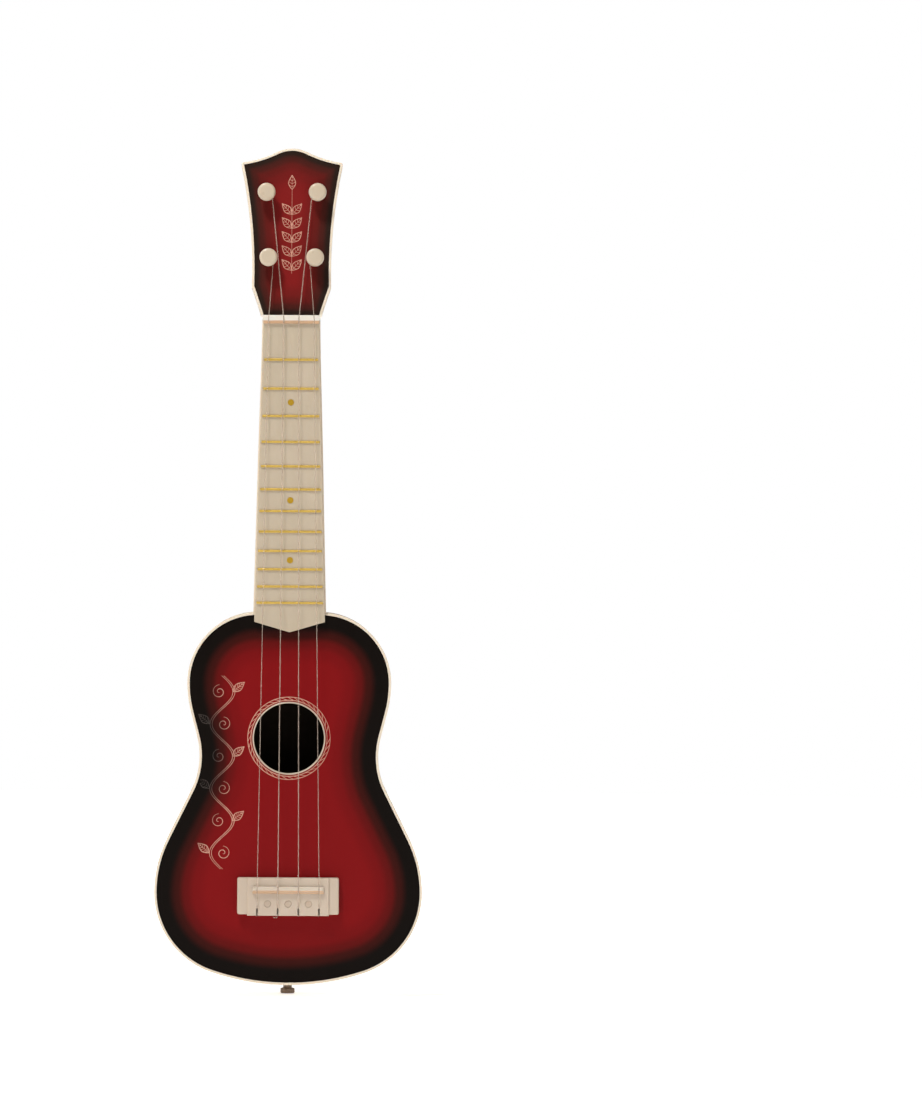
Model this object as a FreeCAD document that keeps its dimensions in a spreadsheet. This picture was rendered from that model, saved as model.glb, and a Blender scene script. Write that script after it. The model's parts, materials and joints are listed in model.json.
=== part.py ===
import FreeCAD, Part
import math
import os
import Sketcher

# A soprano ukulele in moulded plastic. Millimetres, +Z up along the strings, front facing -Y.
# The origin is where a hanger's fork holds it: on the centre line, between the headstock's
# shoulders at the nut, in the plane of the soundboard's face.

V = FreeCAD.Vector
Placement = FreeCAD.Placement
Rotation = FreeCAD.Rotation

# ---------------------------------------------------------------- driving dimensions

DIMENSIONS = [
    # body, all outlines measured at the edge of the soundboard
    ("upper_bout_half", 63.3, "half width of the upper bout"),
    ("waist_half", 55.3, "half width of the waist"),
    ("lower_bout_half", 83.7, "half width of the lower bout"),
    ("upper_bout_level", -230.4, "height of the widest place of the upper bout"),
    ("waist_level", -277.1, "height of the waist"),
    ("lower_bout_level", -363.8, "height of the widest place of the lower bout"),
    ("body_bottom_level", -421.0, "height of the lowest place of the soundboard"),
    ("shoulder_radius", 43.2, "radius above the upper bout"),
    ("upper_bout_radius", 73.7, "radius below the upper bout"),
    ("waist_radius", 50.8, "radius of the waist"),
    ("hip_radius", 75.0, "radius above the lower bout"),
    ("lower_bout_radius", 52.1, "radius below the lower bout"),
    ("rim_width", 1.5, "cream rim seen round the soundboard"),
    ("rim_proud", 0.4, "how far the rim stands in front of the soundboard"),
    ("rim_round", 0.4, "rounding of the outer edge of the rims"),
    ("body_depth", 58.0, "soundboard face to back"),
    ("ledge_width", 1.5, "ledge that the soundboard rests on"),
    ("back_thickness", 2.4, "back wall"),
    ("back_edge_radius", 9.0, "rounding between the sides and the back"),
    ("board_thickness", 2.4, "soundboard"),
    ("board_gap", 0.05, "gap between the soundboard and the rim"),
    ("hole_level", -265.6, "height of the sound hole's centre"),
    ("hole_radius", 22.3, "clear radius of the sound hole"),
    ("ring_width", 0.9, "width of the sound hole's ring"),
    ("ring_proud", 0.5, "how far the ring stands in front"),
    ("ring_depth", 3.2, "how far the ring reaches in"),
    ("ring_round", 0.3, "rounding of the ring's front"),
    # blocks and braces
    ("block_width", 44.0, "width of the end blocks"),
    ("block_length", 12.0, "length of the end blocks along the strings"),
    ("block_depth", 36.0, "depth of the end blocks"),
    ("block_front", 6.0, "distance from the soundboard's face to the end blocks"),
    ("brace_width", 6.0, "width of the braces"),
    ("brace_height", 7.0, "height of the braces"),
    ("brace_slope", 4.0, "chamfer at the ends of the braces"),
    ("upper_brace_length", 104.0, "length of the brace above the sound hole"),
    ("lower_brace_length", 104.0, "length of the brace below the sound hole"),
    ("upper_brace_level", -231.0, "height of the brace above the sound hole"),
    ("lower_brace_level", -303.0, "height of the brace below the sound hole"),
    ("plate_width", 76.0, "bridge plate, across"),
    ("plate_length", 30.0, "bridge plate, along"),
    ("plate_thickness", 3.0, "bridge plate"),
    # neck, fretboard and nut
    ("nut_half", 17.65, "half width of the fretboard at the nut"),
    ("board_end_half", 22.5, "half width of the fretboard at its body end"),
    ("board_end_level", -191.6, "height of the fretboard's lower corners"),
    ("board_tip_level", -198.2, "height of the fretboard's pointed tip"),
    ("fretboard_thickness", 3.5, "fretboard"),
    ("edge_round", 0.5, "small rounding on moulded edges"),
    ("neck_margin", 0.8, "how much wider than the fretboard the neck is, each side"),
    ("neck_depth", 13.0, "depth of the neck below the fretboard at the nut"),
    ("heel_depth", 44.0, "depth of the heel at the body"),
    ("nut_length", 3.2, "nut, along the strings"),
    ("nut_height", 5.6, "nut, above the neck"),
    ("nut_round", 0.6, "rounding of the nut's top"),
    ("scale_length", 348.0, "string length that the frets are set out for"),
    ("fret_datum", 5.5, "distance from the nut's front to the start of the scale"),
    ("fret_length_cut", 1.1, "how far each fret stops short of the fretboard's edge"),
    ("fret_width", 1.5, "fret, along the strings"),
    ("fret_height", 0.9, "fret, above the fretboard"),
    ("fret_crown", 0.6, "rounding of the fret's top"),
    ("dot_radius", 2.0, "position dot"),
    ("dot_proud", 0.15, "how far a dot stands out"),
    ("dot_depth", 1.2, "how deep a dot is set in"),
    # headstock
    ("head_tilt", 5.5, "backward tilt of the headstock in degrees"),
    ("head_offset", 1.3, "how far the headstock's rim stands in front of the neck's top"),
    ("head_foot", 3.45, "start of the headstock, above the nut"),
    ("head_foot_half", 17.6, "half width of the face at its foot"),
    ("head_waist_half", 20.1, "half width half-way up the taper"),
    ("head_waist_level", 11.4, "height half-way up the taper"),
    ("head_corner_half", 23.7, "half width at the lower corner"),
    ("head_corner_level", 22.0, "height of the lower corner"),
    ("head_side_half", 25.7, "half width half-way up the side"),
    ("head_side_level", 69.0, "height half-way up the side"),
    ("head_top_half", 30.7, "half width at the upper corner"),
    ("head_top_level", 100.2, "height of the upper corner"),
    ("head_apex_level", 109.2, "height of the crown"),
    ("crown_radius", 20.0, "radius of the crown"),
    ("crown_half", 8.9, "half width of the crown's own arc"),
    ("head_thickness", 12.0, "headstock"),
    ("face_thickness", 1.6, "headstock face plate"),
    ("face_recess", 0.3, "how far the face plate lies behind its rim"),
    ("head_rim", 1.5, "cream rim seen round the face plate"),
    ("head_back_round", 2.0, "rounding of the headstock's back edges"),
    # tuners, heights measured out from the face plate
    ("peg_high_level", 81.4, "height of the upper pegs on the headstock"),
    ("peg_high_half", 16.2, "distance of the upper pegs from the centre line"),
    ("peg_low_level", 39.4, "height of the lower pegs on the headstock"),
    ("peg_low_half", 14.8, "distance of the lower pegs from the centre line"),
    ("post_head_radius", 5.65, "round head of a tuner post"),
    ("post_head_top", 9.8, "top of the head"),
    ("post_head_base", 5.6, "underside of the head"),
    ("post_top_round", 1.7, "rounding of the head's top"),
    ("post_under_round", 0.7, "rounding under the head"),
    ("post_drum_radius", 3.0, "drum that the string is wound on"),
    ("post_drum_base", 0.5, "foot of the drum"),
    ("post_shaft_radius", 2.5, "shaft through the headstock"),
    ("post_shaft_end", 17.0, "how far the shaft reaches behind the face"),
    ("post_string_hole_radius", 0.6, "hole through the drum for the string"),
    ("post_screw_hole_radius", 1.3, "hole in the shaft's end for the screw"),
    ("post_screw_hole_end", 9.0, "where that hole stops behind the face"),
    ("collar_bore_radius", 2.56, "bore of the collar"),
    ("collar_radius", 3.98, "outside of the collar"),
    ("collar_flange_radius", 6.2, "flange of the collar"),
    ("collar_front", 0.2, "front end of the collar"),
    ("collar_back", 11.8, "face of the flange that lies on the headstock's back"),
    ("collar_end", 13.2, "end of the collar"),
    ("knob_front", 13.5, "front of the turning knob"),
    ("knob_back", 27.5, "back of the turning knob"),
    ("knob_hub_radius", 4.6, "hub of the turning knob"),
    ("knob_wing_half", 8.2, "half width of the knob's wing"),
    ("knob_wing_thickness", 4.2, "thickness of the knob's wing"),
    ("knob_wing_front", 16.5, "front of the wing"),
    ("knob_wing_corner", 3.2, "corner radius of the wing"),
    ("knob_grip_round", 1.2, "rounding of the wing's faces"),
    ("knob_hub_back", 26.0, "back of the hub, inside the wing"),
    ("knob_mouth", 13.0, "start of the cut that makes the bore"),
    ("knob_far_end", 29.0, "end of the cut that makes the screw's pocket"),
    ("knob_bore_radius", 2.52, "bore of the knob, tight on the shaft"),
    ("knob_bore_end", 17.2, "end of the bore"),
    ("knob_screw_radius", 1.4, "hole for the screw"),
    ("knob_screw_seat", 24.8, "seat of the screw's head"),
    ("knob_screw_pocket_radius", 2.8, "pocket for the screw's head"),
    ("screw_head_radius", 2.4, "screw head"),
    ("screw_head_end", 26.6, "top of the screw's head"),
    ("screw_radius", 1.25, "screw shank"),
    ("screw_tip", 10.5, "tip of the screw"),
    ("screw_recess_radius", 1.0, "drive recess of the screw"),
    ("screw_recess_floor", 25.6, "floor of the drive recess"),
    # bridge and saddle
    ("bridge_top_level", -354.0, "upper edge of the bridge"),
    ("bridge_bottom_level", -378.1, "lower edge of the bridge"),
    ("bridge_half", 32.3, "half width of the bridge"),
    ("bridge_core_half", 26.0, "half width of its raised middle"),
    ("bridge_height", 5.6, "height of its middle"),
    ("bridge_wing_height", 4.5, "height of its wings"),
    ("bridge_wing_cut", 0.7, "how much shorter the wings are at the lower edge"),
    ("bridge_round", 1.3, "rounding of the wings"),
    ("bridge_core_round", 0.7, "rounding of the middle"),
    ("saddle_half", 22.7, "half width of the saddle"),
    ("saddle_top_level", -359.4, "upper side of the saddle"),
    ("saddle_length", 3.4, "saddle, along the strings"),
    ("saddle_height", 8.0, "top of the saddle above the soundboard"),
    ("saddle_round", 1.4, "rounding of the saddle's top"),
    ("saddle_apron", 1.2, "quarter round along the saddle's lower side"),
    ("saddle_seat", 2.5, "floor of the saddle's slot above the soundboard"),
    ("plug_radius", 2.2, "plugs over the bridge screws"),
    ("plug_level", -370.6, "height of the plugs"),
    ("plug_spacing", 13.0, "distance between the plugs"),
    ("plug_length", 1.4, "plug"),
    ("plug_sunk", 0.25, "how far a plug lies below the bridge's face"),
    ("slot_width", 1.1, "string slot in the bridge"),
    ("slot_top_level", -373.4, "upper end of the string slots"),
    ("slot_floor", 1.2, "floor of the string slots above the soundboard"),
    # strings
    ("string_space_nut", 9.6, "distance between strings at the nut"),
    ("string_space_saddle", 13.1, "distance between strings at the saddle"),
    ("string_bend", 3.0, "radius that a string bends to over the nut and saddle"),
    ("string_bed", 0.04, "gap between a string and the groove it lies in"),
    ("knot_radius", 1.15, "knot behind the bridge"),
    ("winding_inner", 3.16, "inside of the string's turns on the drum"),
    ("winding_height", 1.9, "height of those turns"),
    ("winding_level", 2.9, "middle of those turns above the face plate"),
    # strap button and fasteners
    ("button_level", 29.0, "distance of the strap button behind the soundboard's face"),
    ("button_stem_radius", 2.8, "stem of the strap button"),
    ("button_head_radius", 4.6, "head of the strap button"),
    ("button_foot_radius", 4.2, "foot of the strap button"),
    ("button_foot_height", 1.0, "foot of the strap button"),
    ("button_stem_foot", 1.7, "lower end of the stem"),
    ("button_stem_top", 4.0, "upper end of the stem"),
    ("button_round", 0.4, "rounding of the strap button's edges"),
    ("button_head_base", 4.7, "underside of the head"),
    ("button_height", 7.6, "strap button"),
    ("button_bore_radius", 1.8, "hole through the strap button"),
    ("button_seat_radius", 2.7, "seat for the screw's head"),
    ("button_seat_level", 5.6, "floor of that seat"),
    ("wood_screw_radius", 1.7, "shank of the larger screws"),
    ("wood_screw_head_radius", 3.3, "head of the larger screws"),
    ("wood_screw_head_height", 2.0, "head of the larger screws"),
    ("wood_screw_length", 23.0, "larger screws, under the head"),
    ("button_screw_head_radius", 2.5, "head of the strap button's screw"),
    ("button_screw_head_height", 1.6, "head of the strap button's screw"),
    ("bridge_screw_length", 7.6, "bridge screws, under the head"),
    ("bridge_screw_radius", 1.1, "shank of the bridge screws"),
    ("bridge_screw_head_radius", 2.0, "head of the bridge screws"),
    ("bridge_screw_head_height", 1.3, "head of the bridge screws"),
    ("screw_drive_radius", 0.9, "drive recess of the fasteners"),
    ("screw_drive_depth", 0.8, "drive recess of the fasteners"),
]

STRINGS = [
    # name, place across from the left, radius, side of its peg, row of its peg
    ("g", -1.5, 0.31, -1, "low"),
    ("c", -0.5, 0.42, -1, "high"),
    ("e", 0.5, 0.38, 1, "high"),
    ("a", 1.5, 0.31, 1, "low"),
]
FRET_COUNT = 12
DOT_SPACES = (3, 7, 10)

doc = FreeCAD.newDocument("ukulele")
sheet = doc.addObject("Spreadsheet::Sheet", "Dims")
for row, (name, number, note) in enumerate(DIMENSIONS, start=1):
    sheet.set("A%d" % row, name)
    sheet.set("B%d" % row, str(number))
    sheet.setAlias("B%d" % row, name)
    sheet.set("C%d" % row, note)
doc.recompute()

made = []


def size(name):
    """The number held by a cell of the sheet."""
    return float(getattr(sheet, name))


def signed(text):
    """A coordinate: 0, a cell's name, or a cell's name with a minus in front."""
    if text == "0":
        return 0.0
    if text.startswith("-"):
        return -size(text[1:])
    return size(text)


def formula(text):
    """The same coordinate as an expression on the sheet."""
    if text.startswith("-"):
        return "-Dims." + text[1:]
    return "Dims." + text


def bind(target, **cells):
    """Bind properties of an object to the sheet."""
    for prop, text in cells.items():
        target.setExpression(prop, text)


def keep(target, label, placement=None):
    """Name a finished sub-part, set its place and put it on the list to be written."""
    target.Label = label
    if placement is not None:
        target.Placement = placement
    made.append(target)
    return target


# ---------------------------------------------------------------- general builders

def origin_plane(body, role):
    """One of a body's own origin planes."""
    return [item for item in body.Origin.OriginFeatures if item.Role == role][0]


def new_body(name):
    return doc.addObject("PartDesign::Body", name + "_body")


def new_sketch(body, role, name):
    """An empty sketch on one of the body's origin planes."""
    sketch = body.newObject("Sketcher::SketchObject", name)
    sketch.AttachmentSupport = [(origin_plane(body, role), "")]
    sketch.MapMode = "FlatFace"
    return sketch


def bound_outline(sketch, corners):
    """A closed outline of straight lines whose corners are bound to the sheet."""
    points = [V(signed(across), signed(up), 0) for across, up in corners]
    count = len(points)
    for index in range(count):
        sketch.addGeometry(Part.LineSegment(points[index], points[(index + 1) % count]), False)
    for index in range(count):
        sketch.addConstraint(Sketcher.Constraint("Coincident", index, 2, (index + 1) % count, 1))
    for index, (across, up) in enumerate(corners):
        for kind, text, axis in (("DistanceX", across, -2), ("DistanceY", up, -1)):
            if text == "0":
                sketch.addConstraint(Sketcher.Constraint("PointOnObject", index, 1, axis))
                continue
            datum = Sketcher.Constraint(kind, -1, 1, index, 1, signed(text))
            number = sketch.addConstraint(datum)
            sketch.setExpression("Constraints[%d]" % number, formula(text))


def bound_circle(sketch, radius, across="0", up="0"):
    """A circle whose radius and centre are bound to the sheet."""
    place = V(signed(across), signed(up), 0)
    index = sketch.addGeometry(Part.Circle(place, V(0, 0, 1), size(radius)), False)
    number = sketch.addConstraint(Sketcher.Constraint("Radius", index, size(radius)))
    sketch.setExpression("Constraints[%d]" % number, formula(radius))
    for kind, text, axis in (("DistanceX", across, -2), ("DistanceY", up, -1)):
        if text == "0":
            sketch.addConstraint(Sketcher.Constraint("PointOnObject", index, 3, axis))
            continue
        number = sketch.addConstraint(Sketcher.Constraint(kind, -1, 1, index, 3, signed(text)))
        sketch.setExpression("Constraints[%d]" % number, formula(text))


def turned(name, corners):
    """A turned piece: an outline of radius and height, revolved about the body's Z axis."""
    body = new_body(name)
    sketch = new_sketch(body, "XZ_Plane", name + "_profile")
    bound_outline(sketch, corners)
    turn = body.newObject("PartDesign::Revolution", name + "_turn")
    turn.Profile = (sketch, [""])
    turn.ReferenceAxis = (sketch, ["V_Axis"])
    turn.Angle = 360
    body.Tip = turn
    doc.recompute()
    return body


def edges_where(shape, test):
    """The names of the edges that pass a test."""
    return ["Edge%d" % (i + 1) for i, edge in enumerate(shape.Edges) if test(edge)]


def round_edges(body, name, radius, test):
    """Round the edges of a body's last feature that pass a test."""
    base = body.Tip
    feature = body.newObject("PartDesign::Fillet", name)
    feature.Base = (base, edges_where(base.Shape, test))
    bind(feature, Radius="Dims." + radius)
    body.Tip = feature
    doc.recompute()
    return feature


def is_circle(edge, radius, height=None):
    """Whether an edge is a circle of a radius, and at a height along Z if one is given."""
    curve = edge.Curve
    if not isinstance(curve, Part.Circle) or abs(curve.Radius - radius) > 1e-4:
        return False
    return height is None or abs(curve.Center.z - height) < 1e-4


def box(name, length, width, height, corner):
    """A block whose three sizes are bound to the sheet, with its lowest corner placed."""
    block = doc.addObject("Part::Box", name)
    bind(block, Length=length, Width=width, Height=height)
    block.Placement = Placement(corner, Rotation())
    return block


def cylinder(name, radius, height, base, direction):
    """A round bar whose sizes are bound to the sheet, standing on base along direction."""
    bar = doc.addObject("Part::Cylinder", name)
    bind(bar, Radius=radius, Height=height)
    bar.Placement = Placement(base, Rotation(V(0, 0, 1), direction))
    return bar


def cut(name, base, tools):
    """Base less its tools."""
    tool = tools[0]
    if len(tools) > 1:
        tool = doc.addObject("Part::MultiFuse", name + "_tools")
        tool.Shapes = tools
    result = doc.addObject("Part::Cut", name)
    result.Base = base
    result.Tool = tool
    return result


def rounded(name, base, radius, test):
    """Base with the edges that pass a test rounded to the radius in one of the sheet's cells."""
    doc.recompute()
    result = doc.addObject("Part::Fillet", name)
    result.Base = base
    numbers = [i + 1 for i, edge in enumerate(base.Shape.Edges) if test(edge)]
    result.Edges = [(number, size(radius), size(radius)) for number in numbers]
    return result


def shaped(name, shape):
    """A piece whose shape is worked out below from the sheet's numbers."""
    feature = doc.addObject("Part::Feature", name + "_shape")
    feature.Shape = shape
    return feature


# ---------------------------------------------------------------- outlines

def on_circle(centre, radius, degrees):
    """A point of a circle that lies in the XZ plane."""
    angle = math.radians(degrees)
    return centre + V(math.cos(angle), 0, math.sin(angle)) * radius


def arc(centre, radius, start, end):
    """An arc in the XZ plane, from one angle to another."""
    points = [on_circle(centre, radius, angle) for angle in (start, (start + end) / 2, end)]
    return Part.Arc(*points).toShape()


def cross_tangent(centre_a, radius_a, centre_b, radius_b):
    """The angle of the normal of the line that passes between two circles, nearest to level."""
    apart = centre_b - centre_a
    lean = math.atan2(apart.z, apart.x)
    swing = math.acos((radius_a + radius_b) / apart.Length)
    return math.degrees(lean - math.copysign(swing, lean))


def mirrored_wire(edges):
    """A closed wire from the edges of its right half."""
    both = edges + [edge.mirror(V(0, 0, 0), V(1, 0, 0)) for edge in edges]
    return Part.Wire(Part.__sortEdges__(both))


def body_outline(grow):
    """The body's outline moved outwards by grow: tangent arcs and lines, the same on both sides."""
    upper, lower = size("upper_bout_level"), size("lower_bout_level")
    shoulder = V(size("upper_bout_half") - size("shoulder_radius"), 0, upper)
    bout = V(size("upper_bout_half") - size("upper_bout_radius"), 0, upper)
    waist = V(size("waist_half") + size("waist_radius"), 0, size("waist_level"))
    hip = V(size("lower_bout_half") - size("hip_radius"), 0, lower)
    low = V(size("lower_bout_half") - size("lower_bout_radius"), 0, lower)

    shoulder_r = size("shoulder_radius") + grow
    bout_r = size("upper_bout_radius") + grow
    waist_r = size("waist_radius") - grow
    hip_r = size("hip_radius") + grow
    low_r = size("lower_bout_radius") + grow
    upper_angle = cross_tangent(bout, bout_r, waist, waist_r)
    lower_angle = cross_tangent(hip, hip_r, waist, waist_r)

    # The bottom arc is centred on the middle line and touches the lower bout's arc from outside.
    drop = lower - size("body_bottom_level")
    plain_r = size("lower_bout_radius")
    bottom_r = (low.x ** 2 + drop ** 2 - plain_r ** 2) / (2 * (drop - plain_r))
    bottom = V(0, 0, size("body_bottom_level") + bottom_r)
    bottom_angle = math.degrees(math.atan2(low.z - bottom.z, low.x))

    edges = [
        Part.LineSegment(V(0, 0, shoulder.z + shoulder_r), on_circle(shoulder, shoulder_r, 90)).toShape(),
        arc(shoulder, shoulder_r, 90, 0),
        arc(bout, bout_r, 0, upper_angle),
        Part.LineSegment(on_circle(bout, bout_r, upper_angle),
                         on_circle(waist, waist_r, upper_angle + 180)).toShape(),
        arc(waist, waist_r, upper_angle + 180, lower_angle + 180),
        Part.LineSegment(on_circle(waist, waist_r, lower_angle + 180),
                         on_circle(hip, hip_r, lower_angle)).toShape(),
        arc(hip, hip_r, lower_angle, 0),
        arc(low, low_r, 0, bottom_angle),
        arc(bottom, bottom_r + grow, bottom_angle, -90),
    ]
    return mirrored_wire(edges)


def head_outline():
    """The outline of the headstock's face: curved taper, hollow sides and a crowned top."""
    foot = V(size("head_foot_half"), 0, size("head_foot"))
    taper = V(size("head_waist_half"), 0, size("head_waist_level"))
    corner = V(size("head_corner_half"), 0, size("head_corner_level"))
    side = V(size("head_side_half"), 0, size("head_side_level"))
    top = V(size("head_top_half"), 0, size("head_top_level"))
    crown = V(0, 0, size("head_apex_level") - size("crown_radius"))
    turn = math.degrees(math.acos(size("crown_half") / size("crown_radius")))
    join = on_circle(crown, size("crown_radius"), turn)
    # The hollow shoulder is the arc that leaves the crown along its tangent and ends at the corner.
    outward = (join - crown).normalize()
    across = top - join
    hollow = join + outward * (across.Length ** 2 / (2 * across.dot(outward)))
    middle = ((join - hollow) + (top - hollow)).normalize() * (join - hollow).Length
    edges = [
        Part.LineSegment(V(0, 0, foot.z), foot).toShape(),
        Part.Arc(foot, taper, corner).toShape(),
        Part.Arc(corner, side, top).toShape(),
        Part.Arc(top, hollow + middle, join).toShape(),
        arc(crown, size("crown_radius"), turn, 90),
    ]
    return mirrored_wire(edges)


def slab(wire, front, back):
    """The outline made into a slab between two distances behind the soundboard's face."""
    face = Part.Face(wire)
    face.translate(V(0, front, 0))
    return face.extrude(V(0, back - front, 0))


# ---------------------------------------------------------------- places

HEAD_PLACE = Placement(V(0, -size("head_offset"), 0), Rotation(V(1, 0, 0), -size("head_tilt")))
FACE_FRONT = -size("fretboard_thickness")
BUTT_LEVEL = size("upper_bout_level") + size("shoulder_radius") + size("rim_width")
TAIL_LEVEL = size("body_bottom_level") - size("rim_width")
WALL = size("rim_width") + size("ledge_width")
DOWN = V(0, 0, -1)
NECK_SCREW_DEPTHS = (10.0, 22.0)
CUT_MARGIN = 1.0
FREE = 0.05


def peg_centre(side, row):
    """The middle of a tuner on the face plate, in the headstock's own frame."""
    return V(side * size("peg_%s_half" % row), size("face_recess"), size("peg_%s_level" % row))


def peg_place(side, row):
    """Where a tuner's turned pieces go: their Z axis points out of the headstock's face."""
    return HEAD_PLACE * Placement(peg_centre(side, row), Rotation(V(0, 0, 1), V(0, -1, 0)))


def fret_level(number):
    """The height of a fret, from the rule of equal steps."""
    along = size("scale_length") * (1 - 2 ** (-number / 12))
    return -(size("fret_datum") + along)


def board_half(level):
    """Half the fretboard's width at a height."""
    part = level / size("board_end_level")
    return size("nut_half") + part * (size("board_end_half") - size("nut_half"))


# ---------------------------------------------------------------- body

def make_back_shell():
    outer = slab(body_outline(size("rim_width")), -size("rim_proud"), size("body_depth"))
    back_edges = [e for e in outer.Edges if e.BoundBox.YMin > size("body_depth") - 0.01]
    outer = outer.makeFillet(size("back_edge_radius"), back_edges)
    front_edges = [e for e in outer.Edges if e.BoundBox.YMax < -size("rim_proud") + 0.01]
    outer = outer.makeFillet(size("rim_round"), front_edges)
    floor = size("body_depth") - size("back_thickness")
    cavity = slab(body_outline(-size("ledge_width")), size("board_thickness"), floor)
    floor_edges = [e for e in cavity.Edges if e.BoundBox.YMin > floor - 0.01]
    cavity = cavity.makeFillet(size("back_edge_radius") - size("back_thickness"), floor_edges)
    rabbet = slab(body_outline(0), -size("rim_proud") - CUT_MARGIN, size("board_thickness"))
    # The rim stops where the fretboard passes over it.
    notch_half = board_half(BUTT_LEVEL) + size("neck_margin")
    notch = Part.makeBox(2 * notch_half, size("rim_proud") + CUT_MARGIN, WALL + CUT_MARGIN,
                         V(-notch_half, -size("rim_proud") - CUT_MARGIN, BUTT_LEVEL - WALL))
    shell = outer.cut(cavity).cut(rabbet).cut(notch)
    hole_radius = size("wood_screw_radius") + FREE
    for depth in NECK_SCREW_DEPTHS:
        shell = shell.cut(Part.makeCylinder(hole_radius, 2 * WALL, V(0, depth, BUTT_LEVEL - 1.5 * WALL)))
    tail_hole = V(0, size("button_level"), TAIL_LEVEL - WALL / 2)
    shell = shell.cut(Part.makeCylinder(hole_radius, 2 * WALL, tail_hole))
    keep(shaped("back_shell", shell), "back_shell")


def bridge_screw_axes():
    """The places of the three bridge screws, on the soundboard's face."""
    return [V(side * size("plug_spacing"), 0, size("plug_level")) for side in (-1, 0, 1)]


def make_soundboard():
    board = slab(body_outline(-size("board_gap")), 0, size("board_thickness"))
    hole = V(0, -CUT_MARGIN, size("hole_level"))
    reach = size("board_thickness") + 2 * CUT_MARGIN
    ring_seat = size("hole_radius") + size("ring_width") + FREE
    board = board.cut(Part.makeCylinder(ring_seat, reach, hole, V(0, 1, 0)))
    for axis in bridge_screw_axes():
        start = axis - V(0, CUT_MARGIN, 0)
        board = board.cut(Part.makeCylinder(size("bridge_screw_radius") + FREE, reach, start, V(0, 1, 0)))
    keep(shaped("soundboard", board), "soundboard")


def make_soundhole_ring():
    front = V(0, -size("ring_proud"), size("hole_level"))
    length = "Dims.ring_proud + Dims.ring_depth"
    outside = cylinder("ring_outside", "Dims.hole_radius + Dims.ring_width", length, front, V(0, 1, 0))
    inside = cylinder("ring_inside", "Dims.hole_radius", length, front, V(0, 1, 0))
    ring = cut("ring_blank", outside, [inside])
    doc.recompute()
    soft = rounded("ring_rounded", ring, "ring_round",
                   lambda e: e.BoundBox.YMax < -size("ring_proud") + 0.01)
    keep(soft, "soundhole_ring")


def end_block(name, low_level, screw_depths):
    """A block fitted to the inside of the body's end wall, drilled for its screws."""
    inside = slab(body_outline(-size("ledge_width") - 2 * FREE), size("block_front"),
                  size("block_front") + size("block_depth"))
    corner = V(-size("block_width") / 2, 0, low_level)
    blank = Part.makeBox(size("block_width"), size("body_depth"), size("block_length"), corner)
    block = inside.common(blank)
    for depth in screw_depths:
        start = V(0, depth, low_level - CUT_MARGIN)
        reach = size("block_length") + 2 * CUT_MARGIN
        block = block.cut(Part.makeCylinder(size("wood_screw_radius") + FREE, reach, start))
    keep(shaped(name, block), name)


def make_end_blocks():
    end_block("neck_block", BUTT_LEVEL - WALL - size("block_length"), NECK_SCREW_DEPTHS)
    end_block("tail_block", TAIL_LEVEL + WALL, [size("button_level")])


def make_braces():
    for place in ("upper", "lower"):
        name = "soundboard_brace_" + place
        length = place + "_brace_length"
        corner = V(-size(length) / 2, size("board_thickness"),
                   size(place + "_brace_level") - size("brace_width") / 2)
        bar = box(name + "_bar", "Dims." + length, "Dims.brace_height", "Dims.brace_width", corner)
        doc.recompute()
        inner_face = size("board_thickness") + size("brace_height")
        ends = [i + 1 for i, e in enumerate(bar.Shape.Edges)
                if e.BoundBox.YMin > inner_face - 0.01 and e.BoundBox.XLength < 0.01]
        brace = doc.addObject("Part::Chamfer", name + "_chamfer")
        brace.Base = bar
        brace.Edges = [(number, size("brace_slope"), size("brace_slope")) for number in ends]
        keep(brace, name)


def make_bridge_plate():
    centre = (size("bridge_top_level") + size("bridge_bottom_level")) / 2
    corner = V(-size("plate_width") / 2, size("board_thickness"), centre - size("plate_length") / 2)
    plate = box("bridge_plate_blank", "Dims.plate_width", "Dims.plate_thickness",
                "Dims.plate_length", corner)
    drills = [cylinder("bridge_plate_drill_%d" % i, "Dims.bridge_screw_radius + %g" % FREE,
                       "Dims.plate_thickness + 2", axis + V(0, size("board_thickness") - 1, 0),
                       V(0, 1, 0))
              for i, axis in enumerate(bridge_screw_axes())]
    keep(cut("bridge_plate_drilled", plate, drills), "bridge_plate")


# ---------------------------------------------------------------- neck and headstock

def neck_section(level, half, depth):
    """A D-shaped section of the neck: flat in front, round behind."""
    back = Part.BezierCurve()
    reach = depth * 4 / 3
    back.setPoles([V(-half, 0, level), V(-half, reach, level), V(half, reach, level), V(half, 0, level)])
    front = Part.LineSegment(V(half, 0, level), V(-half, 0, level))
    return Part.Wire([back.toShape(), front.toShape()])


def neck_depth(level):
    """The neck's depth at a height: nearly even, then sweeping down into the heel."""
    part = max(level, BUTT_LEVEL) / BUTT_LEVEL
    plain = size("neck_depth") * (1 + 0.1 * max(part, 0))
    sweep = max(0.0, (part - 0.72) / 0.28)
    return plain + (size("heel_depth") - plain) * sweep ** 2.6


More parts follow.
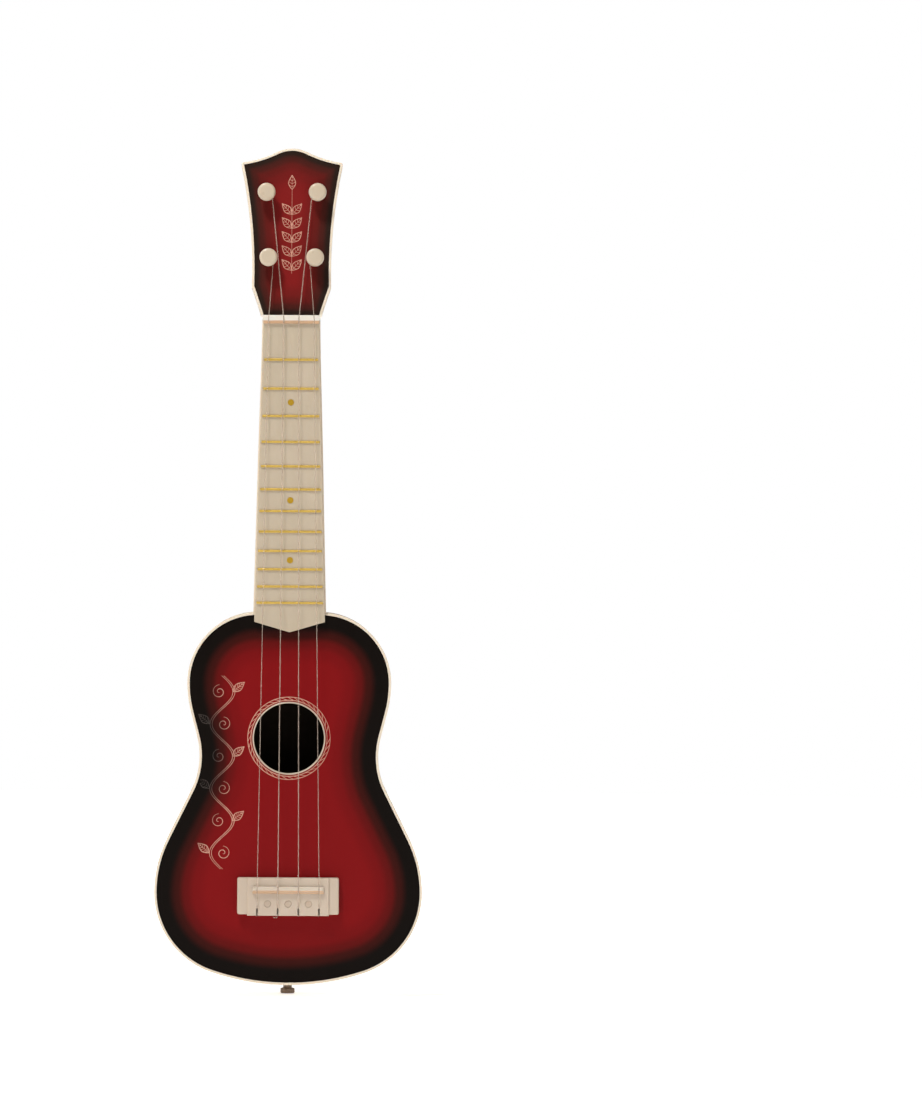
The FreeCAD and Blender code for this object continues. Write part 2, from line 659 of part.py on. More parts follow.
def make_neck():
    levels = [size("head_foot") + 4, 0] + [BUTT_LEVEL * part for part in (0.35, 0.72, 0.82, 0.9, 0.95, 1)]
    sections = [neck_section(level, board_half(min(level, 0)) + size("neck_margin"), neck_depth(level))
                for level in levels]
    neck = Part.makeLoft(sections, True, False)
    face = head_outline()
    rim = face.makeOffset2D(size("head_rim"))
    core = slab(rim, 0, size("head_thickness"))
    foot_level = size("head_foot")
    below = Part.makeBox(200, 100, 50, V(-100, -50, foot_level - 50))
    core = core.cut(below)
    core = core.makeFillet(size("head_back_round"), [
        e for e in core.Edges
        if e.BoundBox.YMin > size("head_thickness") - 0.01 and e.BoundBox.ZMax > foot_level + 0.01])
    core = core.makeFillet(size("rim_round"), [
        e for e in core.Edges if e.BoundBox.YMax < 0.01 and e.BoundBox.ZMax > foot_level + 0.01])
    for name, place, radius, side, row in STRINGS:
        start = peg_centre(side, row) - V(0, 2 * CUT_MARGIN, 0)
        reach = 2 * size("head_thickness")
        core = core.cut(Part.makeCylinder(size("collar_radius") + FREE, reach, start, V(0, 1, 0)))
    recess_floor = size("face_recess") + size("face_thickness")
    recess = slab(face.makeOffset2D(size("board_gap")), -CUT_MARGIN, recess_floor)
    core.Placement = HEAD_PLACE * core.Placement
    recess.Placement = HEAD_PLACE * recess.Placement
    neck = neck.cut(recess).fuse(core.cut(recess)).removeSplitter()
    for depth in NECK_SCREW_DEPTHS:
        start = V(0, depth, BUTT_LEVEL - CUT_MARGIN)
        reach = size("wood_screw_length") - size("block_length") - WALL + 2 * CUT_MARGIN
        neck = neck.cut(Part.makeCylinder(size("wood_screw_radius") + FREE, reach, start))
    keep(shaped("neck", neck), "neck")


def make_headstock_plate():
    front = size("face_recess")
    plate = slab(head_outline(), front, front + size("face_thickness"))
    for name, place, radius, side, row in STRINGS:
        start = peg_centre(side, row) - V(0, CUT_MARGIN, 0)
        reach = size("face_thickness") + 2 * CUT_MARGIN
        plate = plate.cut(Part.makeCylinder(size("collar_radius") + FREE, reach, start, V(0, 1, 0)))
    keep(shaped("headstock_plate", plate), "headstock_plate", HEAD_PLACE)


def make_fretboard():
    body = new_body("fretboard")
    sketch = new_sketch(body, "XZ_Plane", "fretboard_plan")
    bound_outline(sketch, [("-nut_half", "0"), ("nut_half", "0"), ("board_end_half", "board_end_level"),
                           ("0", "board_tip_level"), ("-board_end_half", "board_end_level")])
    pad = body.newObject("PartDesign::Pad", "fretboard_pad")
    pad.Profile = (sketch, [""])
    bind(pad, Length="Dims.fretboard_thickness")
    body.Tip = pad
    doc.recompute()
    round_edges(body, "fretboard_edges", "edge_round",
                lambda e: e.BoundBox.YMax < FACE_FRONT + 0.01 and e.BoundBox.ZMin < -1)
    pocket_sketch = new_sketch(body, "XZ_Plane", "dot_places")
    for space in DOT_SPACES:
        centre = V(0, (fret_level(space) + fret_level(space - 1)) / 2, 0)
        index = pocket_sketch.addGeometry(Part.Circle(centre, V(0, 0, 1), size("dot_radius") + FREE), False)
        pocket_sketch.addConstraint(Sketcher.Constraint("Radius", index, size("dot_radius") + FREE))
        pocket_sketch.addConstraint(Sketcher.Constraint("PointOnObject", index, 3, -2))
        pocket_sketch.addConstraint(Sketcher.Constraint("DistanceY", -1, 1, index, 3, centre.y))
    pocket_sketch.AttachmentOffset = Placement(V(0, 0, size("fretboard_thickness")), Rotation())
    pocket = body.newObject("PartDesign::Pocket", "dot_pockets")
    pocket.Profile = (pocket_sketch, [""])
    bind(pocket, Length="Dims.dot_depth + %g" % FREE)
    body.Tip = pocket
    keep(body, "fretboard")


def make_frets():
    for number in range(1, FRET_COUNT + 1):
        level = fret_level(number)
        half = board_half(level) - size("fret_length_cut")
        name = "fret_%02d" % number
        corner = V(-half, FACE_FRONT - size("fret_height"), level - size("fret_width") / 2)
        bar = box(name + "_bar", "%.3f" % (2 * half), "Dims.fret_height", "Dims.fret_width", corner)
        top = FACE_FRONT - size("fret_height") + 0.01
        fret = rounded(name + "_crown", bar, "fret_crown", lambda e: e.BoundBox.YMax < top)
        keep(fret, name)


def make_dots():
    for space in DOT_SPACES:
        level = (fret_level(space) + fret_level(space - 1)) / 2
        start = V(0, FACE_FRONT - size("dot_proud"), level)
        dot = cylinder("dot_%02d" % space, "Dims.dot_radius", "Dims.dot_proud + Dims.dot_depth",
                       start, V(0, 1, 0))
        keep(dot, "position_dot_%02d" % space)


# ---------------------------------------------------------------- strings

def string_route(place, radius, side, row):
    """A string's bends, from its knot behind the bridge to where it touches the drum."""
    saddle_x = place * size("string_space_saddle")
    nut_x = place * size("string_space_nut")
    saddle_level = size("saddle_top_level") - size("saddle_length") / 2
    knot = V(saddle_x, -2.4, size("bridge_bottom_level") - size("knot_radius") - FREE)
    slot = V(saddle_x, -size("bridge_height") - 0.5, size("slot_top_level") + 0.4)
    saddle = V(saddle_x, -size("saddle_height") - 0.1, saddle_level)
    nut = V(nut_x, -size("nut_height") - 0.1, size("nut_length") / 2)
    # In the headstock's own frame, the string leaves the drum along its tangent.
    local_nut = HEAD_PLACE.inverse().multVec(nut)
    peg = peg_centre(side, row)
    turn_radius = size("winding_inner") + radius
    apart = V(local_nut.x - peg.x, 0, local_nut.z - peg.z)
    lean = math.degrees(math.atan2(apart.z, apart.x))
    swing = math.degrees(math.acos(turn_radius / apart.Length))
    touch = on_circle(peg, turn_radius, lean - side * swing)
    touch.y = peg.y - size("winding_level")
    return [knot, slot, saddle, nut, HEAD_PLACE.multVec(touch)]


def rounded_route(points, radius):
    """Straight runs through the points, joined by tangent arcs."""
    edges = []
    start = points[0]
    for before, corner, after in zip(points, points[1:], points[2:]):
        back = (before - corner).normalize()
        ahead = (after - corner).normalize()
        half = back.getAngle(ahead) / 2
        length = radius / math.tan(half)
        middle = (back + ahead).normalize() * (radius / math.sin(half) - radius)
        entry, leave = corner + back * length, corner + ahead * length
        edges.append(Part.LineSegment(start, entry).toShape())
        edges.append(Part.Arc(entry, corner + middle, leave).toShape())
        start = leave
    edges.append(Part.LineSegment(start, points[-1]).toShape())
    return Part.Wire(edges)


def tube(route, radius):
    """A round tube of a radius along a route."""
    path = rounded_route(route, size("string_bend"))
    heading = (route[1] - route[0]).normalize()
    ring = Part.Wire(Part.Circle(route[0], heading, radius).toShape())
    return path.makePipeShell([ring], True, False)


def string_beds():
    """Slightly larger tubes along the strings, which cut the grooves that they lie in."""
    return [tube(string_route(place, radius, side, row), radius + size("string_bed"))
            for name, place, radius, side, row in STRINGS]


def make_strings():
    for name, place, radius, side, row in STRINGS:
        route = string_route(place, radius, side, row)
        line = tube(route, radius)
        knot = Part.makeSphere(size("knot_radius"), route[0] - V(0, 0, size("knot_radius") / 2))
        outer = size("winding_inner") + 2 * radius
        height = size("winding_height")
        turns = Part.makeCylinder(outer, height).cut(Part.makeCylinder(size("winding_inner"), height))
        turns.Placement = peg_place(side, row) * Placement(
            V(0, 0, size("winding_level") - height / 2), Rotation())
        string = line.fuse([knot, turns])
        keep(shaped("string_" + name, string), "string_" + name)


# ---------------------------------------------------------------- nut, bridge and saddle

def grooved(name, base, beds, foot=None):
    """A piece that the strings cross, with the grooves that they lie in and the foot that it may have."""
    doc.recompute()
    shape = base.Shape.fuse(foot).removeSplitter() if foot else base.Shape
    for bed in beds:
        shape = shape.cut(bed)
    keep(shaped(name, shape), name)


def apron(half, front, level, radius):
    """A quarter round bar that slopes from a piece's lower side down to the face in front of it."""
    bar = Part.makeCylinder(radius, 2 * half, V(-half, front, level), V(1, 0, 0))
    return bar.common(Part.makeBox(2 * half, radius, radius, V(-half, front - radius, level - radius)))


def make_nut(beds):
    half = size("nut_half") + size("neck_margin")
    bar = box("nut_bar", "2 * (Dims.nut_half + Dims.neck_margin)", "Dims.nut_height", "Dims.nut_length",
              V(-half, -size("nut_height"), 0))
    front = -size("nut_height") + 0.01
    soft_bar = rounded("nut_rounded", bar, "nut_round", lambda e: (
        e.BoundBox.YMax < front and e.BoundBox.ZMax > 0.01))
    grooved("nut", soft_bar, beds, apron(size("nut_half"), -size("fretboard_thickness"), 0,
                                         size("nut_height") - size("fretboard_thickness")))


def make_saddle(beds):
    low = size("saddle_top_level") - size("saddle_length")
    bar = box("saddle_bar", "2 * Dims.saddle_half", "Dims.saddle_height - Dims.saddle_seat",
              "Dims.saddle_length", V(-size("saddle_half"), -size("saddle_height"), low))
    front = -size("saddle_height") + 0.01
    soft_bar = rounded("saddle_rounded", bar, "saddle_round", lambda e: e.BoundBox.YMax < front)
    grooved("saddle", soft_bar, beds, apron(size("saddle_half"), -size("bridge_height"), low,
                                            size("saddle_apron")))


def make_bridge(beds):
    bottom, top = size("bridge_bottom_level"), size("bridge_top_level")
    wing_bottom = bottom + size("bridge_wing_cut")
    wings = box("bridge_wings", "2 * Dims.bridge_half", "Dims.bridge_wing_height",
                "Dims.bridge_top_level - Dims.bridge_bottom_level - Dims.bridge_wing_cut",
                V(-size("bridge_half"), -size("bridge_wing_height"), wing_bottom))
    core = box("bridge_core", "2 * Dims.bridge_core_half", "Dims.bridge_height",
               "Dims.bridge_top_level - Dims.bridge_bottom_level",
               V(-size("bridge_core_half"), -size("bridge_height"), bottom))
    soft_wings = rounded("bridge_wings_rounded", wings, "bridge_round", lambda e: (
        e.BoundBox.YMax < -size("bridge_wing_height") + 0.01
        or (e.BoundBox.XLength < 0.01 and e.BoundBox.ZLength < 0.01)))
    soft_core = rounded("bridge_core_rounded", core, "bridge_core_round",
                        lambda e: e.BoundBox.YMax < -size("bridge_height") + 0.01)
    whole = doc.addObject("Part::MultiFuse", "bridge_whole")
    whole.Shapes = [soft_wings, soft_core]

    front = size("bridge_height")
    slack = 2 * FREE
    saddle_slot = box("saddle_slot", "2 * Dims.saddle_half + %g" % slack,
                      "Dims.bridge_height - Dims.saddle_seat + 1", "Dims.saddle_length + %g" % slack,
                      V(-size("saddle_half") - FREE, -front - 1,
                        size("saddle_top_level") - size("saddle_length") - FREE))
    tools = [saddle_slot]
    for name, place, radius, side, row in STRINGS:
        across = place * size("string_space_saddle")
        tools.append(box("slot_" + name, "Dims.slot_width", "Dims.bridge_height - Dims.slot_floor + 1",
                         "Dims.slot_top_level - Dims.bridge_bottom_level + 1",
                         V(across - size("slot_width") / 2, -front - 1, bottom - 1)))
    seat = size("bridge_screw_head_height") + size("plug_sunk") + size("plug_length") + FREE
    for number, axis in enumerate(bridge_screw_axes()):
        mouth = axis - V(0, front + 1, 0)
        tools.append(cylinder("plug_hole_%d" % number, "Dims.plug_radius + %g" % FREE,
                              "%g" % (1 + seat), mouth, V(0, 1, 0)))
        tools.append(cylinder("screw_hole_%d" % number, "Dims.bridge_screw_radius + %g" % FREE,
                              "Dims.bridge_height + 2", mouth, V(0, 1, 0)))
    grooved("bridge", cut("bridge_drilled", whole, tools), beds)


def make_bridge_plugs():
    face = -size("bridge_height") + size("plug_sunk")
    plug = Part.makeCylinder(size("plug_radius"), size("plug_length"), V(0, face, 0), V(0, 1, 0))
    rim = [e for e in plug.Edges if e.BoundBox.YMax < face + 0.01]
    plug = plug.makeFillet(size("edge_round") / 2, rim)
    plugs = []
    for axis in bridge_screw_axes():
        copy = plug.copy()
        copy.translate(axis)
        plugs.append(copy)
    keep(shaped("bridge_plugs", Part.makeCompound(plugs)), "bridge_plugs")


# ---------------------------------------------------------------- fasteners and strap button

def screw_shape(shank, head, head_height, length):
    """A turned screw: its head above the XY plane, its shank below, with a drive recess."""
    blank = Part.makeCylinder(size(head), size(head_height))
    top = [e for e in blank.Edges if is_circle(e, size(head), size(head_height))]
    blank = blank.makeFillet(size(head_height) * 0.45, top)
    body = Part.makeCylinder(size(shank), size(length) - size(shank), V(0, 0, 0), V(0, 0, -1))
    tip = Part.makeCone(size(shank), size(shank) * 0.2, size(shank), V(0, 0, size(shank) - size(length)),
                        V(0, 0, -1))
    screw = blank.fuse([body, tip])
    recess_base = V(0, 0, size(head_height) - size("screw_drive_depth"))
    for turn in (0, 90):
        bar = Part.makeBox(2 * size("screw_drive_radius"), size("screw_drive_radius") / 2,
                           size("screw_drive_depth") + 1,
                           V(-size("screw_drive_radius"), -size("screw_drive_radius") / 4, 0))
        bar.Placement = Placement(recess_base, Rotation(V(0, 0, 1), turn)) * bar.Placement
        screw = screw.cut(bar)
    return screw


def placed(shape, base, direction):
    """A copy of a shape whose Z axis points along direction."""
    copy = shape.copy()
    copy.Placement = Placement(base, Rotation(V(0, 0, 1), direction))
    return copy


def make_fasteners():
    small = screw_shape("bridge_screw_radius", "bridge_screw_head_radius",
                        "bridge_screw_head_height", "bridge_screw_length")
    seat = -size("bridge_height") + (size("plug_sunk") + size("plug_length") + FREE
                                     + size("bridge_screw_head_height"))
    screws = [placed(small, axis + V(0, seat, 0), V(0, -1, 0)) for axis in bridge_screw_axes()]
    keep(shaped("bridge_screws", Part.makeCompound(screws)), "bridge_screws")

    large = screw_shape("wood_screw_radius", "wood_screw_head_radius",
                        "wood_screw_head_height", "wood_screw_length")
    block_foot = BUTT_LEVEL - WALL - size("block_length")
    screws = [placed(large, V(0, depth, block_foot), DOWN) for depth in NECK_SCREW_DEPTHS]
    keep(shaped("neck_screws", Part.makeCompound(screws)), "neck_screws")
    seat_level = TAIL_LEVEL - size("button_seat_level")
    slender = screw_shape("wood_screw_radius", "button_screw_head_radius",
                          "button_screw_head_height", "wood_screw_length")
    screw = placed(slender, V(0, size("button_level"), seat_level), DOWN)
    keep(shaped("strap_button_screw", screw), "strap_button_screw")


def make_strap_button():
    body = turned("strap_button", [
        ("button_bore_radius", "0"), ("button_foot_radius", "0"),
        ("button_foot_radius", "button_foot_height"), ("button_stem_radius", "button_stem_foot"),
        ("button_stem_radius", "button_stem_top"), ("button_head_radius", "button_head_base"),
        ("button_head_radius", "button_height"), ("button_seat_radius", "button_height"),
        ("button_seat_radius", "button_seat_level"), ("button_bore_radius", "button_seat_level")])
    round_edges(body, "button_head_edges", "button_round", lambda e: (
        is_circle(e, size("button_head_radius"), size("button_height"))
        or is_circle(e, size("button_head_radius"), size("button_head_base"))
        or is_circle(e, size("button_foot_radius"), size("button_foot_height"))))
    place = Placement(V(0, size("button_level"), TAIL_LEVEL), Rotation(V(0, 0, 1), DOWN))
    keep(body, "strap_button", place)


# ---------------------------------------------------------------- tuners

def make_post(label, place):
    body = turned(label, [
        ("0", "post_head_top"), ("post_head_radius", "post_head_top"),
        ("post_head_radius", "post_head_base"), ("post_drum_radius", "post_head_base"),
        ("post_drum_radius", "post_drum_base"), ("post_shaft_radius", "post_drum_base"),
        ("post_shaft_radius", "-post_shaft_end"), ("post_screw_hole_radius", "-post_shaft_end"),
        ("post_screw_hole_radius", "-post_screw_hole_end"), ("0", "-post_screw_hole_end")])
    round_edges(body, label + "_top", "post_top_round",
                lambda e: is_circle(e, size("post_head_radius"), size("post_head_top")))
    round_edges(body, label + "_under", "post_under_round",
                lambda e: is_circle(e, size("post_head_radius"), size("post_head_base")))
    sketch = new_sketch(body, "YZ_Plane", label + "_string_hole")
    bound_circle(sketch, "post_string_hole_radius", "0", "winding_level")
    hole = body.newObject("PartDesign::Pocket", label + "_cross_hole")
    hole.Profile = (sketch, [""])
    hole.Type = "ThroughAll"
    hole.Midplane = True
    body.Tip = hole
    keep(body, label, place)


def make_collar(label, place):
    body = turned(label, [
        ("collar_bore_radius", "-collar_front"), ("collar_radius", "-collar_front"),
        ("collar_radius", "-collar_back"), ("collar_flange_radius", "-collar_back"),
        ("collar_flange_radius", "-collar_end"), ("collar_bore_radius", "-collar_end")])
    keep(body, label, place)


def make_knob(label, place):
    body = new_body(label)
    wing_sketch = new_sketch(body, "XZ_Plane", label + "_wing_outline")
    bound_outline(wing_sketch, [
        ("-knob_wing_half", "-knob_wing_front"), ("knob_wing_half", "-knob_wing_front"),
        ("knob_wing_half", "-knob_back"), ("-knob_wing_half", "-knob_back")])
    wing = body.newObject("PartDesign::Pad", label + "_wing")
    wing.Profile = (wing_sketch, [""])
    wing.Midplane = True
    bind(wing, Length="Dims.knob_wing_thickness")
    body.Tip = wing
    doc.recompute()
    round_edges(body, label + "_corners", "knob_wing_corner",
                lambda e: e.BoundBox.XLength < 0.01 and e.BoundBox.ZLength < 0.01)
    round_edges(body, label + "_grip", "knob_grip_round", lambda e: (
        e.BoundBox.YLength < 0.01 and e.BoundBox.ZLength + e.BoundBox.XLength > 1))

    hub_sketch = new_sketch(body, "XZ_Plane", label + "_hub_profile")
    bound_outline(hub_sketch, [
        ("0", "-knob_front"), ("knob_hub_radius", "-knob_front"),
        ("knob_hub_radius", "-knob_hub_back"), ("0", "-knob_hub_back")])
    hub = body.newObject("PartDesign::Revolution", label + "_hub")
    hub.Profile = (hub_sketch, [""])
    hub.ReferenceAxis = (hub_sketch, ["V_Axis"])
    hub.Angle = 360
    body.Tip = hub
    doc.recompute()

    bore_sketch = new_sketch(body, "XZ_Plane", label + "_bore_profile")
    bound_outline(bore_sketch, [
        ("0", "-knob_mouth"), ("knob_bore_radius", "-knob_mouth"),
        ("knob_bore_radius", "-knob_bore_end"), ("knob_screw_radius", "-knob_bore_end"),
        ("knob_screw_radius", "-knob_screw_seat"), ("knob_screw_pocket_radius", "-knob_screw_seat"),
        ("knob_screw_pocket_radius", "-knob_far_end"), ("0", "-knob_far_end")])
    bore = body.newObject("PartDesign::Groove", label + "_bore")
    bore.Profile = (bore_sketch, [""])
    bore.ReferenceAxis = (bore_sketch, ["V_Axis"])
    bore.Angle = 360
    body.Tip = bore
    keep(body, label, place)


def make_tuner_screw(label, place):
    body = turned(label, [
        ("0", "-screw_recess_floor"), ("screw_recess_radius", "-screw_recess_floor"),
        ("screw_recess_radius", "-screw_head_end"), ("screw_head_radius", "-screw_head_end"),
        ("screw_head_radius", "-knob_screw_seat"), ("screw_radius", "-knob_screw_seat"),
        ("screw_radius", "-screw_tip"), ("0", "-screw_tip")])
    round_edges(body, label + "_head", "edge_round",
                lambda e: is_circle(e, size("screw_head_radius"), -size("screw_head_end")))
    keep(body, label, place)


def make_tuners():
    for name, across, radius, side, row in STRINGS:
        place = peg_place(side, row)
        make_post("tuner_post_" + name, place)
        make_collar("tuner_collar_" + name, place)
        # The wing stands along the strings when at rest.
        make_knob("tuner_knob_" + name, place * Placement(V(0, 0, 0), Rotation(V(0, 0, 1), 90)))
        make_tuner_screw("tuner_screw_" + name, place)


# ---------------------------------------------------------------- all of it

def make_all():
    make_back_shell()
    make_soundboard()
    make_soundhole_ring()
    make_end_blocks()
    make_braces()
    make_bridge_plate()
    make_neck()
    make_headstock_plate()
    make_fretboard()
    make_frets()
    make_dots()
    beds = string_beds()
    make_nut(beds)
    make_bridge(beds)
    make_saddle(beds)
    make_bridge_plugs()
    make_strings()
    make_fasteners()
    make_strap_button()
    make_tuners()


def check_and_write():
    """Stop on any failed object or shape, then write one file for each sub-part."""
    doc.recompute()
    for item in doc.Objects:
        if "Invalid" in item.State or "Error" in item.State:
            raise RuntimeError("failed object: " + item.Label)
    for item in made:
        if item.Shape.isNull() or not item.Shape.isValid() or not item.Shape.Solids:
            raise RuntimeError("failed shape: " + item.Label)
    os.makedirs("parts", exist_ok=True)
    for item in made:
        item.Shape.exportStep("parts/%s.step" % item.Label)
        print("%-26s %2d solid(s) %12.2f mm3" % (item.Label, len(item.Shape.Solids), item.Shape.Volume))
    print(len(made), "sub-parts")


make_all()
check_and_write()
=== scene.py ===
import json
import math
import random

import numpy as np

import bmesh
import bpy
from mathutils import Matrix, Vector
from mathutils.geometry import delaunay_2d_cdt


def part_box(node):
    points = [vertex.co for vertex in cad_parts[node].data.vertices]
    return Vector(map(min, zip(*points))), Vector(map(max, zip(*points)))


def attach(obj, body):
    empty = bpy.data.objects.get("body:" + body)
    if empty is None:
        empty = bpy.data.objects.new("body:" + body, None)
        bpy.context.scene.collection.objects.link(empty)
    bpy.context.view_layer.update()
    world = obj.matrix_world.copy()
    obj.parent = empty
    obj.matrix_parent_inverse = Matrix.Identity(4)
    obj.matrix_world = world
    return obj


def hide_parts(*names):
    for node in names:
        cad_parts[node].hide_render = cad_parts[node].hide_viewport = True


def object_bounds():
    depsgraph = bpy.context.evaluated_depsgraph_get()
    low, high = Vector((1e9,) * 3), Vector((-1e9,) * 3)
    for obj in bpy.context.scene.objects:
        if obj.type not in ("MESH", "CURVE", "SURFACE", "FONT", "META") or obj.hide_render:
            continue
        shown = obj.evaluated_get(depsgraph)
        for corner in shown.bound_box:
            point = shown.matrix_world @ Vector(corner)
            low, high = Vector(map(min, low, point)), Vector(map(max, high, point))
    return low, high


# A small moulded ukulele, red fading to black, with a plain pale vine on its left half.
# Everything is in metres in the CAD frame: +Z up along the strings, the front facing -Y.

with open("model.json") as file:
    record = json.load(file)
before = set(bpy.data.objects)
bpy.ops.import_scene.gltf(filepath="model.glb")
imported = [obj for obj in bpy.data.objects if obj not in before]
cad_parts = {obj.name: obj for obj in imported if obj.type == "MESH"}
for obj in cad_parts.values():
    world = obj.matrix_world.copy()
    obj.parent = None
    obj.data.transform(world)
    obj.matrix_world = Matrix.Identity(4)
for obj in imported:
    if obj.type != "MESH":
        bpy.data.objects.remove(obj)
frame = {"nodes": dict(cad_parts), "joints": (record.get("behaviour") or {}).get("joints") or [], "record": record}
NODES = frame["nodes"]
CAD_LOW, CAD_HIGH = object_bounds()
MM = 0.001

# ---------------------------------------------------------------- places read from the frame

BOARD_LOW, BOARD_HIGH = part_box("soundboard")
RING_LOW, RING_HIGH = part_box("soundhole_ring")
HOLE = (RING_LOW + RING_HIGH) / 2
STRING_NAMES = ("g", "c", "e", "a")
PEGS = {name: next(j for j in frame["joints"] if j["child"] == "tuner_" + name) for name in STRING_NAMES}
HEAD_NORMAL = Vector(PEGS["g"]["axis"]).normalized()
HEAD_UP = Vector((1, 0, 0)).cross(HEAD_NORMAL) * -1
HEAD_ORIGIN = Vector(PEGS["g"]["pos_m"]) - HEAD_UP * Vector(PEGS["g"]["pos_m"]).dot(HEAD_UP)
HEAD_ORIGIN.x = 0


# ---------------------------------------------------------------- materials

def new_material(name):
    """A material with an empty node tree but for its Principled shader and output."""
    mat = bpy.data.materials.new(name)
    mat.use_nodes = True
    return mat, mat.node_tree, mat.node_tree.nodes["Principled BSDF"]


def node(tree, kind, **settings):
    """A new node. Settings named after inputs set their values, and the others its properties."""
    made = tree.nodes.new(kind)
    for key, value in settings.items():
        if key in made.inputs:
            made.inputs[key].default_value = value
        else:
            setattr(made, key, value)
    return made


def object_noise(tree, scale, detail=3.0, stretch=(1, 1, 1)):
    """Noise in the object's own coordinates, which are metres in the row frame."""
    place = node(tree, "ShaderNodeTexCoord")
    mapping = node(tree, "ShaderNodeMapping", Scale=stretch)
    noise = node(tree, "ShaderNodeTexNoise", Scale=scale, Detail=detail)
    tree.links.new(place.outputs["Object"], mapping.inputs["Vector"])
    tree.links.new(mapping.outputs["Vector"], noise.inputs["Vector"])
    return noise.outputs["Fac"]


def spread(tree, factor, low, high):
    """Noise mapped to a range of values."""
    mapped = node(tree, "ShaderNodeMapRange")
    mapped.inputs["From Min"].default_value = 0.3
    mapped.inputs["From Max"].default_value = 0.7
    mapped.inputs["To Min"].default_value = low
    mapped.inputs["To Max"].default_value = high
    tree.links.new(factor, mapped.inputs["Value"])
    return mapped.outputs["Result"]


def tinted(tree, factor, first, second):
    """A colour between two others, following a factor."""
    mix = node(tree, "ShaderNodeMix", data_type="RGBA")
    mix.inputs["A"].default_value = (*first, 1)
    mix.inputs["B"].default_value = (*second, 1)
    tree.links.new(factor, mix.inputs["Factor"])
    return mix.outputs["Result"]


def add_bump(tree, bsdf, height, distance, strength):
    bump = node(tree, "ShaderNodeBump", Distance=distance, Strength=strength)
    tree.links.new(height, bump.inputs["Height"])
    tree.links.new(bump.outputs["Normal"], bsdf.inputs["Normal"])


def plastic(name, light, dark, roughness, grain=1400, grain_depth=0.03 * MM, glow=0.15):
    """Moulded plastic: uneven colour, a fine surface grain, and a little light inside it."""
    mat, tree, bsdf = new_material(name)
    cloud = spread(tree, object_noise(tree, 28, 4), 0, 1)
    tree.links.new(tinted(tree, cloud, light, dark), bsdf.inputs["Base Color"])
    fine = object_noise(tree, grain, 2)
    tree.links.new(spread(tree, object_noise(tree, 210, 5), roughness - 0.05, roughness + 0.07),
                   bsdf.inputs["Roughness"])
    add_bump(tree, bsdf, fine, grain_depth, 0.35)
    bsdf.inputs["Subsurface Weight"].default_value = glow
    bsdf.inputs["Subsurface Radius"].default_value = (1.0, 0.62, 0.36)
    bsdf.inputs["Subsurface Scale"].default_value = 4 * MM
    return mat


CREAM_LIGHT = (0.78, 0.68, 0.55)
CREAM_DARK = (0.75, 0.648, 0.52)


def burst_ramp(tree, reach, stops):
    """Colour by the distance from the edge that a mesh carries in its attribute, in metres."""
    edge = node(tree, "ShaderNodeAttribute", attribute_name="edge_distance")
    scaled = node(tree, "ShaderNodeMath", operation="DIVIDE")
    scaled.inputs[1].default_value = reach
    tree.links.new(edge.outputs["Fac"], scaled.inputs[0])
    ramp = node(tree, "ShaderNodeValToRGB")
    ramp.color_ramp.interpolation = "EASE"
    elements = ramp.color_ramp.elements
    while len(elements) < len(stops):
        elements.new(0.5)
    for element, (distance, colour) in zip(elements, stops):
        element.position = distance / reach
        element.color = (*colour, 1)
    tree.links.new(scaled.outputs[0], ramp.inputs["Fac"])
    return edge.outputs["Fac"], ramp.outputs["Color"]


BODY_REACH = 36 * MM
BODY_STOPS = [
    (7 * MM, (0.0030, 0.0012, 0.0004)),
    (13.2 * MM, (0.038, 0.0034, 0.0020)),
    (18.5 * MM, (0.112, 0.0032, 0.0032)),
    (24.5 * MM, (0.172, 0.0032, 0.0042)),
    (33 * MM, (0.203, 0.0036, 0.0048)),
]
HEAD_REACH = 24 * MM
HEAD_STOPS = [
    (1.5 * MM, (0.0202, 0.0110, 0.0080)),
    (5.5 * MM, (0.060, 0.0112, 0.0085)),
    (9.5 * MM, (0.108, 0.0098, 0.0082)),
    (14 * MM, (0.150, 0.0102, 0.0094)),
    (21 * MM, (0.188, 0.0106, 0.0104)),
]
LINE_COLOUR = (0.70, 0.40, 0.29)


def printed_film(name, reach, stops):
    """The printed sunburst: red in the middle, black at the edge, under a satin film."""
    mat, tree, bsdf = new_material(name)
    _, burst = burst_ramp(tree, reach, stops)
    speckle = spread(tree, object_noise(tree, 1700, 2), 0.94, 1.06)
    shade = node(tree, "ShaderNodeVectorMath", operation="SCALE")
    tree.links.new(burst, shade.inputs[0])
    tree.links.new(speckle, shade.inputs["Scale"])
    tree.links.new(shade.outputs["Vector"], bsdf.inputs["Base Color"])
    tree.links.new(spread(tree, object_noise(tree, 160, 5), 0.36, 0.47), bsdf.inputs["Roughness"])
    add_bump(tree, bsdf, object_noise(tree, 1100, 3), 0.02 * MM, 0.25)
    bsdf.inputs["Specular IOR Level"].default_value = 0.09
    return mat


